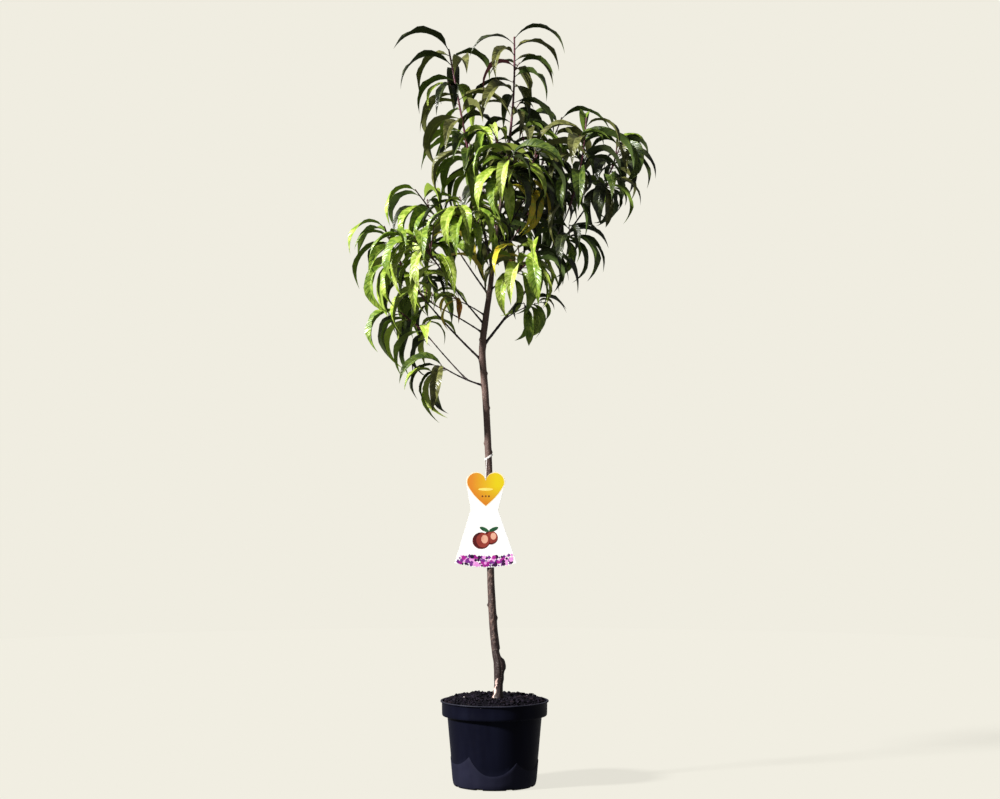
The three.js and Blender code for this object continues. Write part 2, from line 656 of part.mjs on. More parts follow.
// The tag's outline: the two lobes of a heart over a flared skirt with a curved hem.
function tagOutline() {
  const lobe = TAG.heartWidth / 4;
  const shoulder = TAG.top - lobe;
  const shape = new THREE.Shape();
  shape.moveTo(0, shoulder + 1.5);
  shape.absarc(lobe, shoulder, lobe, Math.PI * 0.95, -Math.PI * 0.1, true);
  shape.lineTo(TAG.waistWidth / 2, TAG.waistHeight);
  shape.lineTo(TAG.hemWidth / 2, TAG.hemHeight);
  shape.quadraticCurveTo(0, TAG.hemHeight - 2 * TAG.hemDrop, -TAG.hemWidth / 2, TAG.hemHeight);
  shape.lineTo(-TAG.waistWidth / 2, TAG.waistHeight);
  shape.absarc(-lobe, shoulder, lobe, Math.PI * 1.1, Math.PI * 0.05, true);
  shape.closePath();
  return shape;
}

function tagSolid() {
  const geometry = new THREE.ExtrudeGeometry(tagOutline(), {
    depth: TAG.thickness, bevelEnabled: false, curveSegments: 10,
  });
  return toSolid(geometry.rotateX(Math.PI / 2).translate(TAG.centreX, TAG.backY, 0));
}

// A flat band tilted round the trunk, with a tail that runs down behind the tag's notch.
function strapSolid() {
  const trunk = limbs.get("trunk");
  const share = shareAtHeight(trunk.curve, STRAP.height);
  const centre = trunk.curve.getPoint(share);
  const inner = trunk.radiusAt(share) + 2 * CLEARANCE;
  const outer = inner + STRAP.thickness;
  const half = STRAP.width / 2;
  const tilt = THREE.MathUtils.degToRad(STRAP.tilt);
  const section = [[inner, -half], [outer, -half], [outer, half], [inner, half], [inner, -half]];
  const band = lathe(section, STRAP.segments);
  band.scale(1 / Math.cos(tilt), 1, 1).rotateY(-tilt).translate(centre.x, centre.y, centre.z);
  const tail = new THREE.BoxGeometry(STRAP.tailWidth, STRAP.thickness, STRAP.tailLength);
  tail.translate(0, 0, -STRAP.tailLength / 2).rotateY(THREE.MathUtils.degToRad(STRAP.tailLean));
  tail.translate(centre.x - STRAP.tailWidth / 2, TAG.backY + CLEARANCE + STRAP.thickness / 2, centre.z);
  return outerBody(toSolid(band).add(toSolid(tail)).subtract(clearOf(trunk)));
}

// ---------------------------------------------------------------- assembly

const COLOURS = {
  pot: [0x14161d, 0.35], soil: [0x191214, 0.95], bark: [0x54423c, 0.8], bough: [0x4b3a33, 0.75],
  leaf: [0x3f6a1c, 0.5], tag: [0xf6f2ec, 0.4],
};

const tree = new THREE.Group();
tree.name = "dwarf_peach_tree";

function addNode(name, solid, [color, roughness]) {
  const material = new THREE.MeshStandardMaterial({ color, roughness, metalness: 0 });
  const mesh = new THREE.Mesh(toGeometry(solid), material);
  mesh.name = name;
  tree.add(mesh);
}

addNode("pot", potSolid(), COLOURS.pot);
addNode("potting_soil", soilSolid(), COLOURS.soil);
for (const limb of limbs.values()) {
  addNode(limb.name, limbSolid(limb), limb.name === "trunk" ? COLOURS.bark : COLOURS.bough);
}
for (const mass of masses) addNode(`foliage_${mass.spec.name}`, massSolid(mass), COLOURS.leaf);
addNode("hang_tag", tagSolid(), COLOURS.tag);
addNode("tag_strap", strapSolid(), COLOURS.tag);

export default tree;
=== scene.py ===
"""Looks of a dwarf peach tree in a round black nursery pot.

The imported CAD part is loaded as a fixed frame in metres. Everything that grows is worked out here in
millimetres by the same rule as the solids: limbs and stems are smooth curves, leaves sit on them at
the golden angle, and each leaf is an arc that droops from its root. The rule is then carried on to
finer side shoots. Pot, soil, tag and strap are modelled in place of their plain solids.
"""

import json
import logging
from collections.abc import Callable, Mapping, Sequence
from dataclasses import dataclass, field
from enum import Enum
from math import asin, atan2, ceil, cos, degrees, hypot, pi, radians, sin, sqrt, tau

import bpy
import numpy as np
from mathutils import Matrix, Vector, noise

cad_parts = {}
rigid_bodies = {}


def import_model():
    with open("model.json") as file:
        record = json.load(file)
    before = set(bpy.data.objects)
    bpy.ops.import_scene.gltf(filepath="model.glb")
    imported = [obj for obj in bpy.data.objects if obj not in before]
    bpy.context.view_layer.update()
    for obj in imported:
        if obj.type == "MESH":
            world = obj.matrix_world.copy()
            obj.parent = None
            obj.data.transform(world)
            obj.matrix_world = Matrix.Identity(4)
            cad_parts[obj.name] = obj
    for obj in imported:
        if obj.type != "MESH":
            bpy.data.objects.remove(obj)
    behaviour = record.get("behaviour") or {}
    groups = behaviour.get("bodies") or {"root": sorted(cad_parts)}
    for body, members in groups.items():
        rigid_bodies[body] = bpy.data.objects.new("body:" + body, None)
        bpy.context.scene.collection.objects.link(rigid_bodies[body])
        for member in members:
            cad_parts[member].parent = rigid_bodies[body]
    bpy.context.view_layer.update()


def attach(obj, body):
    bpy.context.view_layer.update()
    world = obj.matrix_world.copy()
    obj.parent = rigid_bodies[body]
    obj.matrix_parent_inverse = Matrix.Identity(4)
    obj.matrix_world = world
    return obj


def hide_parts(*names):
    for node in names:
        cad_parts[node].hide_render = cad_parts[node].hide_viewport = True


LOG = logging.getLogger("peach_tree")
MM = 0.001
CLEARANCE = 0.3
GOLDEN_ANGLE = radians(137.508)
UP = np.array((0.0, 0.0, 1.0))

Array = np.ndarray
Object = bpy.types.Object
Material = bpy.types.Material
Socket = bpy.types.NodeSocket
Sockets = Mapping[str, Socket]
Pair = tuple[float, float]
Triple = tuple[float, float, float]
Colour = Triple
Face = tuple[int, ...]


# ---- streams and vectors


class Stream:
    """A repeatable stream of numbers from 0 to 1 for one shoot or one try of one leaf."""

    SPREAD, FACTOR, STEP, SIZE = 2654435761, 1664525, 1013904223, 2**32

    def __init__(self, *keys: int) -> None:
        """Starts the stream that the whole numbers name."""
        self.state = 1
        for key in keys:
            self.state ^= (key + 1) * self.SPREAD % self.SIZE
            self.next()

    def next(self) -> float:
        """Returns the next number."""
        self.state = (self.state * self.FACTOR + self.STEP) % self.SIZE
        return self.state / self.SIZE

    def between(self, span: Pair) -> float:
        """Returns the next number, spread over a span."""
        return span[0] + (span[1] - span[0]) * self.next()

    def degrees(self, span: Pair) -> float:
        """Returns the next number, spread over a span in degrees, in radians."""
        return radians(self.between(span))

    def pick(self, shares: dict) -> object:
        """Returns one of the keys.

        Args:
            shares: The share of each key.

        Returns:
            The key that the next number falls on.
        """
        left = self.next() * sum(shares.values())
        for key, share in shares.items():
            left -= share
            if left <= 0:
                return key
        return key


def vec(*values: float) -> Array:
    """Returns the values as a vector."""
    return np.array(values, float)


def unit(vector: Array) -> Array:
    """Returns the vector at length 1."""
    return vector / np.linalg.norm(vector)


def even_shares(count: int) -> Array:
    """Returns the shares of count equal steps along a curve."""
    return np.arange(count + 1) / count


def circle(count: int) -> Array:
    """Returns count equal turns round a circle, in radians."""
    return np.arange(count) * 2 * pi / count


def cross_axes(along: Array) -> tuple[Array, Array]:
    """Two axes across a direction.

    Args:
        along: The direction, at length 1.

    Returns:
        A level axis, and the axis square to it and to the direction.
    """
    level = np.cross(UP, along)
    if np.linalg.norm(level) < 1e-3:
        level = vec(1, 0, 0)
    level = unit(level)
    return level, np.cross(along, level)


# ---- curves


class Line:
    """A smooth curve from share 0 to share 1."""

    def point(self, share: float) -> Array:
        """Returns the point at a share of the curve."""
        raise NotImplementedError

    def tangent(self, share: float) -> Array:
        """Returns the direction at a share of the curve, from two points close by."""
        before, after = max(share - 1e-4, 0.0), min(share + 1e-4, 1.0)
        return unit(self.point(after) - self.point(before))

    def points(self, count: int) -> Array:
        """Returns the points at the ends of count equal steps."""
        return np.array([self.point(share) for share in even_shares(count)])

    def rings(self, shares: Sequence[float], sides: int) -> tuple[Array, Array]:
        """Rings round the curve, with no twist between them.

        Args:
            shares: Where the rings stand.
            sides: Points in each.

        Returns:
            The rings' centres, and the way out at each ring and side.
        """
        turns = circle(sides)[:, None]
        centres, ways, side = [], [], None
        for share in shares:
            along = self.tangent(share)
            side = cross_axes(along)[0] if side is None else unit(side - along * side.dot(along))
            centres.append(self.point(share))
            ways.append(side * np.cos(turns) + np.cross(along, side) * np.sin(turns))
        return np.array(centres), np.array(ways)


@dataclass(frozen=True)
class BentLine(Line):
    """A quadratic curve: its start, the point that bends it and its tip."""

    start: Array
    bend: Array
    tip: Array

    def point(self, share: float) -> Array:
        """Returns the point at a share of the curve."""
        rest = 1 - share
        return rest * rest * self.start + 2 * rest * share * self.bend + share * share * self.tip

    def length(self) -> float:
        """Returns the curve's length, over 12 short lengths."""
        return float(np.linalg.norm(np.diff(self.points(12), axis=0), axis=1).sum())


@dataclass(frozen=True)
class StationLine(Line):
    """A curve through stations, with the slope at each from its two neighbours."""

    stations: Array

    def point(self, share: float) -> Array:
        """Returns the point at a share of the curve."""
        count = len(self.stations)
        place = (count - 1) * share
        i = min(int(place), count - 2)
        weight = place - i
        p1, p2 = self.stations[i], self.stations[i + 1]
        p0 = self.stations[i - 1] if i > 0 else 2 * p1 - p2
        p3 = self.stations[i + 2] if i + 2 < count else 2 * p2 - p1
        t0, t1 = 0.5 * (p2 - p0), 0.5 * (p3 - p1)
        square = (-3 * p1 + 3 * p2 - 2 * t0 - t1) * weight * weight
        return p1 + t0 * weight + square + (2 * p1 - 2 * p2 + t0 + t1) * weight**3

    def share_at_height(self, height: float) -> float:
        """Returns the share of the curve at which it reaches a height."""
        low, high = 0.0, 1.0
        for _ in range(40):
            middle = (low + high) / 2
            if self.point(middle)[2] < height:
                low = middle
            else:
                high = middle
        return low


@dataclass(frozen=True)
class Limb:
    """A length of wood: its curve and its radius along it."""

    line: Line
    radius: Callable[[float], float]
    parent: "Limb | None" = None
    girth: float = 1.0

    def radii(self, shares: Sequence[float]) -> Array:
        """Returns the radius at each of the shares."""
        return np.array([self.radius(float(share)) for share in shares])

    def branch(self, share: float, azimuth: float, opening: float) -> Array:
        """Direction that leaves the limb.

        Args:
            share: Where it is left.
            azimuth: Turn round it, in radians.
            opening: Angle from it, in radians.

        Returns:
            The direction, at length 1.
        """
        along = self.line.tangent(share)
        level, upper = cross_axes(along)
        side = level * cos(azimuth) + upper * sin(azimuth)
        return along * cos(opening) + side * sin(opening)


def taper(start: float, end: float) -> Callable[[float], float]:
    """Returns a radius that runs evenly from start to end."""
    return lambda share: start + (end - start) * share


# ---- sizes of what grows, in millimetres


# Height, offset to the right, offset back and radius of the trunk, from below the soil up.
TRUNK_STATIONS = vec(
    (170, 6, 0, 14.5),
    (205, 8, 0, 10.4),
    (242, 9.5, 0, 11.6),
    (275, 2.5, 0, 8.8),
    (333, -3, 0, 8.2),
    (433, -8, 0, 7.4),
    (640, -11.5, 0, 6.9),
    (784, -18, 0, 6.9),
    (878, -25, 0, 6.9),
    (946, -18, 0, 6.4),
    (1009, -9, 0, 5.4),
    (1093, 0, 0, 4.3),
    (1172, 11, 0, 3.8),
    (1310, 30, 2, 3.2),
)
TRUNK_TOP = TRUNK_STATIONS[-1, 0]


@dataclass(frozen=True)
class BoughSize:
    """A bough: where it leaves its parent, its tip, the lift of its sweep and its two radii.

    girth is the share of those radii that the finished wood keeps.
    """

    name: str
    at: float
    tip: Triple
    lift: float
    radii: Pair
    girth: float = 0.66
    on: str = "trunk"


BOUGH_SIZES = (
    BoughSize("low_left", 811, (-92, -26, 841), -6, (2.9, 1.9)),
    BoughSize("low_left_outer", 0.5, (-124, 10, 898), -3, (2.2, 1.7), on="low_left"),
    BoughSize("left_main", 861, (-139, -26, 982), -8, (3.4, 2.2)),
    BoughSize("left_back", 917, (-110, 58, 970), 4, (2.6, 1.7)),
    BoughSize("left_middle", 934, (-106, -62, 1042), -6, (2.8, 1.8)),
    BoughSize("left_small", 952, (-66, -42, 979), 3, (2.2, 1.5)),
    BoughSize("upper_left", 994, (-76, 36, 1090), -4, (2.9, 2.0)),
    BoughSize("left_leader", 1050, (-42, -28, 1226), -10, (3.3, 2.5), 0.95),
    BoughSize("centre_left", 1078, (-30, -46, 1112), -3, (2.6, 2.0)),
    BoughSize("centre_low", 1004, (26, -44, 1026), 4, (2.6, 2.0)),
    BoughSize("centre_front", 1135, (20, -66, 1200), -6, (2.7, 2.0)),
    BoughSize("front_right", 1170, (42, -46, 1206), -3, (2.5, 1.9)),
    BoughSize("right_main", 890, (229, 20, 1236), -14, (4.2, 2.0)),
    BoughSize("right_low", 0.17, (56, -32, 966), 3, (2.0, 1.5), on="right_main"),
    BoughSize("right_hanging", 0.55, (133, -34, 1100), 3, (2.0, 1.5), on="right_main"),
    BoughSize("right_front", 0.47, (143, -42, 1150), -4, (2.5, 1.9), on="right_main"),
    BoughSize("right_outer", 0.84, (214, -22, 1204), 2, (1.9, 1.5), on="right_main"),
    BoughSize("right_inner", 1094, (56, 26, 1182), -6, (2.9, 2.1)),
    BoughSize("back", 1024, (0, 72, 1090), -6, (3.0, 2.1)),
    BoughSize("back_left", 1150, (-22, 58, 1212), -4, (2.6, 1.9)),
    BoughSize("back_right", 1060, (44, 72, 1124), -6, (2.9, 2.0)),
)


class Tint(Enum):
    """Colour of a leaf."""

    DARK = "dark"
    DEEP = "deep"
    OLIVE = "olive"
    GREEN = "green"
    FRESH = "fresh"
    LIME = "lime"
    YELLOW = "yellow"
    RUSSET = "russet"
    MAROON = "maroon"


class Shade(Enum):
    """How the tints are dealt out over a mass of leaves, by the share of each.

    SUNLIT deals paler tints to the masses on the side the light comes from, and HEART to the middle,
    which other masses shade: painted light. SHADED deals darker tints to the masses on the right and
    at the back: painted shade.
    """

    CROWN_TOP = {Tint.DARK: 5, Tint.OLIVE: 4, Tint.DEEP: 2}
    LEADER = {Tint.DARK: 3, Tint.DEEP: 2, Tint.OLIVE: 3, Tint.GREEN: 1.5, Tint.FRESH: 2}
    # Paler tints on the lit side: painted light.
    SUNLIT = {Tint.DEEP: 2, Tint.GREEN: 3.5, Tint.FRESH: 4.5, Tint.DARK: 2, Tint.LIME: 1.6}
    # Darker tints for the shaded side: painted shade.
    SHADED = {Tint.DARK: 6, Tint.DEEP: 4, Tint.OLIVE: 2.5, Tint.GREEN: 1.5}
    # Paler tints for the shaded middle: painted light.
    HEART = {Tint.DARK: 3, Tint.DEEP: 1, Tint.OLIVE: 2, Tint.GREEN: 2.5, Tint.FRESH: 5, Tint.LIME: 3}
    HANGING = {Tint.DEEP: 2, Tint.OLIVE: 2, Tint.FRESH: 3, Tint.LIME: 2, Tint.DARK: 2}
    GOLDEN = {Tint.LIME: 3.5, Tint.FRESH: 3, Tint.GREEN: 2, Tint.YELLOW: 0.5, Tint.DEEP: 2}
    RIPE = {Tint.RUSSET: 2, Tint.YELLOW: 1.5, Tint.OLIVE: 1, Tint.GREEN: 1}


@dataclass(frozen=True)
class MassSize:
    """A mass of foliage: its tip, its leaves and shoots, and its tints.

    on is the limb that carries it, if not the bough of its own name, and at the height at which it
    leaves the trunk, if it doesn't go on from a tip. leaf is a full leaf's length, and droop the whole
    turn of its arc in degrees. spurs are the fine shoots that the looks add to the rule's twigs.
    """

    name: str
    tip: Triple
    leaves: int
    leaf: float
    shade: Shade
    spurs: int = 2
    twigs: int = 0
    on: str = ""
    at: float | None = None
    droop: float = 136.0
    girth: float = 1.0


MASS_SIZES = (
    MassSize("top", (40, 4, 1520), 18, 128, Shade.CROWN_TOP, on="trunk", droop=128, girth=1.3),
    MassSize("leader_left", (-6, -34, 1338), 8, 128, Shade.HEART, 3, on="trunk", at=1258),
    MassSize("leader_right", (76, -22, 1318), 10, 128, Shade.LEADER, 3, on="trunk", at=1230),
    MassSize("left_leader", (-93, 2, 1494), 25, 146, Shade.LEADER, girth=1.35),
    MassSize("upper_left", (-163, 40, 1213), 12, 132, Shade.SUNLIT, 2, 1),
    MassSize("left_outer", (-222, -44, 1132), 15, 132, Shade.SUNLIT, 3, 1, on="left_main"),
    MassSize("left_middle", (-158, -92, 1108), 13, 134, Shade.GOLDEN, 3, 1),
    MassSize("left_back", (-176, 100, 1030), 10, 128, Shade.SUNLIT, 2, 1),
    MassSize("low_left_outer", (-197, 30, 964), 12, 132, Shade.SUNLIT),
    MassSize("low_left", (-114, -38, 850), 6, 128, Shade.HANGING, 1),
    MassSize("left_small", (-86, -56, 992), 4, 92, Shade.RIPE, 1),
    MassSize("centre_left", (-64, -84, 1176), 13, 132, Shade.HEART, 7, 1),
    MassSize("centre_low", (84, -98, 1080), 14, 134, Shade.HEART, 5, 1),
    MassSize("centre_front", (29, -122, 1266), 14, 136, Shade.HEART, 4),
    MassSize("front_right", (86, -92, 1270), 11, 128, Shade.HEART, 3),
    MassSize("right_tip", (250, 26, 1318), 14, 114, Shade.SHADED, 3, 1, on="right_main", droop=150),
    MassSize("right_outer", (228, -54, 1214), 8, 118, Shade.SHADED, droop=142),
    MassSize("right_front", (184, -64, 1348), 15, 134, Shade.SHADED, 3, 1),
    MassSize("right_inner", (138, 52, 1362), 15, 132, Shade.SHADED, 2, 1),
    MassSize("right_hanging", (158, -74, 1112), 6, 118, Shade.SHADED, 3),
    MassSize("right_low", (72, -50, 976), 7, 94, Shade.SHADED),
    MassSize("back", (14, 172, 1204), 13, 132, Shade.SHADED, 5, 2),
    MassSize("back_left", (-54, 124, 1322), 13, 132, Shade.SUNLIT, 3, 1),
    MassSize("back_right", (114, 154, 1250), 14, 132, Shade.SHADED, 5, 1),
)

# Single leaves by number, such as the first autumn ones, in place of the tint dealt to them.
# Several green and fresh turns on right_low, centre_left and centre_low lift leaves that lie in
# shade: painted light.
TURNED: dict[str, dict[Tint, tuple[int, ...]]] = {
    "top": {Tint.MAROON: (12,)},
    "leader_left": {Tint.LIME: (1,), Tint.FRESH: (13,)},
    "left_leader": {Tint.DARK: (20, 23), Tint.OLIVE: (18, 22)},
    "upper_left": {Tint.GREEN: (15,)},
    "left_outer": {Tint.LIME: (2,)},
    "left_middle": {Tint.LIME: (1, 7), Tint.FRESH: (4,), Tint.GREEN: (12,)},
    "low_left": {Tint.LIME: (3,), Tint.FRESH: (0,)},
    "left_small": {Tint.LIME: (0, 3), Tint.YELLOW: (1, 4), Tint.RUSSET: (2,)},
    "centre_left": {Tint.FRESH: (2, 7), Tint.GREEN: (5, 8)},
    "centre_low": {
        Tint.FRESH: (0, 2, 17, 20, 27),
        Tint.GREEN: (5, 10, 22),
        Tint.LIME: (7,),
        Tint.YELLOW: (16, 24),
        Tint.RUSSET: (18, 21),
    },
    "centre_front": {Tint.FRESH: (8,), Tint.YELLOW: (1,), Tint.DARK: (17,)},
    "front_right": {Tint.YELLOW: (1, 2)},
    "right_hanging": {Tint.GREEN: (2,)},
    # Greener tints for leaves that hang in shade: painted light.
    "right_low": {Tint.GREEN: (0, 2, 6, 11), Tint.FRESH: (5,)},
}


@dataclass(frozen=True)
class Shoots:
    """A kind of green side shoot. A pair is a range, or a value at root and tip.

    key numbers the first of them, place is where on the stem they sit, first is the share that stays
    bare, and scale is the size of their leaves against full leaves.
    """

    key: int
    place: Pair
    length: float
    spread: Pair
    radii: Pair
    first: float
    scale: Pair = (1.0, 1.0)
    leaves: int = 3
    opening: float = radians(46.0)
    rise: float = 0.12


TWIG = Shoots(0, (0.2, 0.75), 55.0, (0.85, 1.15), (1.3, 1.1), 0.25)
SPUR = Shoots(50, (0.08, 0.9), 1.0, (16.0, 34.0), (1.0, 0.8), 0.3, (0.5, 0.78))


@dataclass(frozen=True)
class Blades:
    """Sizes of a leaf and of the spread among leaves. A pair is a range."""

    steps: int = 12
    guard_stations: Face = (0, 4, 8)
    settle: float = 1.2
    flatten: float = 0.6
    root: float = 0.6
    petiole: float = 0.07
    forward: float = 0.75
    narrowing: float = 1.1
    fold: float = 0.22
    thickness: float = 1.3
    length_spread: Pair = (0.82, 1.12)
    width_spread: Pair = (0.165, 0.22)
    droop_spread: Pair = (0.8, 1.15)
    roll: Pair = (-28, 28)
    twist: Pair = (-35, 35)
    sway: Pair = (-0.1, 0.1)
    steepest: Pair = (-0.7, 0.85)
    opening: Pair = (48, 66)
    jitter: Pair = (-0.3, 0.3)
    upright: float = 0.5
    tries: int = 9
    retry_turn: float = radians(26.0)
    envelope: float = 0.8
    shared_root: float = 14.0
    tint_key: int = 97


# ---- leaves and keeping clear


def ring_faces(
    rings: int, sides: int, first: int = 0, closed: bool = False, turned: bool = False
) -> list[Face]:
    """Four-sided faces between rings of equal point count.

    Args:
        rings: Number of rings.
        sides: Points in each, against the clock seen from the last.
        first: Number of the first point.
        closed: Whether the last ring joins the first.
        turned: Whether the points run with the clock.

    Returns:
        The faces' point numbers.
    """
    faces = []
    for i in range(rings if closed else rings - 1):
        a, b = first + i * sides, first + (i + 1) % rings * sides
        for k in range(sides):
            k2 = (k + 1) % sides
            faces.append((a + k, b + k, b + k2, a + k2) if turned else (a + k, a + k2, b + k2, b + k))
    return faces


def skin_triangles(rings: int, sides: int, pointed: bool) -> Array:
    """Triangles of a skin over rings, closed at both ends.

    Args:
        rings: Number of rings.
        sides: Points in each.
        pointed: Whether the far end closes in one more point.

    Returns:
        The triangles' point numbers.
    """
    faces = [(0, k + 1, k) for k in range(1, sides - 1)]
    for a, b, c, d in ring_faces(rings, sides):
        faces += [(a, b, c), (a, c, d)]
    last = (rings - 1) * sides
    if pointed:
        faces += [(last + k, last + (k + 1) % sides, last + sides) for k in range(sides)]
    else:
        faces += [(last, last + k, last + k + 1) for k in range(1, sides - 1)]
    return np.array(faces)


class Shape:
    """A faceted shape with its edges and bounding ball, ready for the crossing test."""

    def __init__(self, points: Array, faces: Array, owner: str, root: Array | None = None) -> None:
        """Takes the shape in.

        Args:
            points: The corners.
            faces: The triangles' point numbers.
            owner: The mass or limb that it is part of.
            root: Where it sits on its shoot, if it is a leaf.
        """
        self.owner, self.root = owner, root
        pairs = np.sort(np.vstack([faces[:, (0, 1)], faces[:, (1, 2)], faces[:, (2, 0)]]), axis=1)
        self.edges = points[np.unique(pairs, axis=0)]
        self.triangles = points[faces]
        low, high = points.min(axis=0), points.max(axis=0)
        self.centre = (low + high) / 2
        self.reach = float(np.linalg.norm(high - low)) / 2

    def pierced_by(self, edges: Array) -> bool:
        """Returns whether any of the edges passes through any triangle of this shape."""
        p = edges[:, None, 0]
        u_axis = edges[:, None, 1] - p
        a = self.triangles[None, :, 0]
        e = self.triangles[None, :, 1] - a
        f = self.triangles[None, :, 2] - a
        h = np.cross(u_axis, f)
        d = (e * h).sum(axis=2)
        safe = np.where(np.abs(d) < 1e-9, np.inf, d)
        s = p - a
        u = (s * h).sum(axis=2) / safe
        q = np.cross(s, e)
        v = (u_axis * q).sum(axis=2) / safe
        t = (f * q).sum(axis=2) / safe
        hit = (u >= 0) & (u <= 1) & (v >= 0) & (u + v <= 1) & (t >= 0) & (t <= 1)
        return bool((hit & np.isfinite(safe)).any())

    def touches(self, other: "Shape") -> bool:
        """Returns whether the edges of either shape pass through the other."""
        return other.pierced_by(self.edges) or self.pierced_by(other.edges)


@dataclass(frozen=True)
class Leaf:
    """One leaf: an arc that leaves its root at a rise and turns down over its length."""

    root: Array
    heading: Array
    length: float
    rise: float
    droop: float
    width: float
    roll: float
    twist: float
    sway: float

    def frames(self) -> tuple[Array, Array, Array]:
        """The leaf's arc.

        Returns:
            The centre, the axis across the blade and the way it faces, at every step.
        """
        share = even_shares(Blades.steps)
        middle = (np.arange(Blades.steps) + 0.5) / Blades.steps
        level = np.cross(UP, self.heading)
        lengths = self._sloped(middle) * self.length / Blades.steps
        arc = np.vstack([np.zeros(3), np.cumsum(lengths, axis=0)])
        centre = self.root + level * (self.sway * self.length * share**2)[:, None] + arc
        normal = np.cross(self._sloped(share), level)
        turn = (self.roll + self.twist * share)[:, None]
        across = level * np.cos(turn) + normal * np.sin(turn)
        return centre, across, normal * np.cos(turn) - level * np.sin(turn)

    def _sloped(self, share: Array) -> Array:
        """Returns the arc's direction at shares of its length."""
        slope = self.rise - self.droop * (1 - (1 - share) ** Blades.settle)
        return self.heading * np.cos(slope)[:, None] + UP * np.sin(slope)[:, None]

    def half_width(self, share: Array) -> Array:
        """Returns half the blade's width at shares of its length: a lance with a long point."""
        u = np.clip((share - Blades.petiole) / (1 - Blades.petiole), 0, 1)
        lance = np.clip(np.sin(pi * u**Blades.forward), 0, 1) ** Blades.narrowing
        return np.maximum(Blades.root, self.width / 2 * lance)

    def guard(self, owner: str) -> Shape:
        """The plain three-sided blade that the solids have, grown a little on every side.

        Args:
            owner: The leaf's mass.

        Returns:
            The shape that other leaves keep clear of.
        """
        centre, across, face = self.frames()
        extra = Blades.envelope
        points = []
        for step in Blades.guard_stations:
            half = float(self.half_width(np.array([step / Blades.steps]))[0]) + extra
            lift = Blades.fold * half + extra if step else 0.5 * Blades.root
            keel = Blades.thickness + extra if step else Blades.root
            for side in (half, -half):
                points.append(centre[step] + across[step] * side + face[step] * lift)
            points.append(centre[step] - face[step] * keel)
        points.append(centre[-1])
        faces = skin_triangles(len(Blades.guard_stations), 3, True)
        return Shape(np.array(points), faces, owner, self.root)


class Thicket:
    """Everything that later leaves keep clear of."""

    margin: float = 1.2

    def __init__(self) -> None:
        """Starts empty."""
        self.shapes: list[Shape] = []
        self.centres = np.zeros((0, 3))
        self.reaches = np.zeros(0)

    def add(self, shape: Shape) -> None:
        """Adds one shape."""
        self.shapes.append(shape)
        self.centres = np.vstack([self.centres, shape.centre])
        self.reaches = np.append(self.reaches, shape.reach)

    def add_limb(self, limb: Limb, owner: str, lengths: int) -> None:
        """Adds a limb in short three-sided lengths.

        Args:
            limb: The limb.
            owner: The mass or limb that it is part of.
            lengths: How many.
        """
        for i in range(lengths):
            shares = (i / lengths, (i + 1) / lengths)
            centres, sides = limb.line.rings(shares, 3)
            radii = limb.radii(shares) + self.margin
            points = centres[:, None] + sides * radii[:, None, None]
            self.add(Shape(points.reshape(-1, 3), skin_triangles(2, 3, False), owner))

    def blocks(self, guard: Shape) -> bool:
        """Whether a leaf would touch more than its own wood and the leaves that share its root.

        Args:
            guard: The leaf's guard shape.

        Returns:
            True where there is no room for the leaf.
        """
        gaps = np.linalg.norm(self.centres - guard.centre, axis=1) - self.reaches - guard.reach
        for i in np.nonzero(gaps <= 0)[0]:
            other = self.shapes[i]
            if other.owner == guard.owner:
                if other.root is None:
                    continue
                if np.linalg.norm(other.root - guard.root) < Blades.shared_root:
                    continue
            if guard.touches(other):
                return True
        return False


# ---- the crown


@dataclass
class Mass:
    """A mass of foliage as it grows: its stem, its side shoots and its leaves with their tints."""

    size: MassSize
    seed: int
    stem: Limb
    shoots: list[Limb] = field(default_factory=list)
    leaves: list[tuple[Leaf, Tint]] = field(default_factory=list)


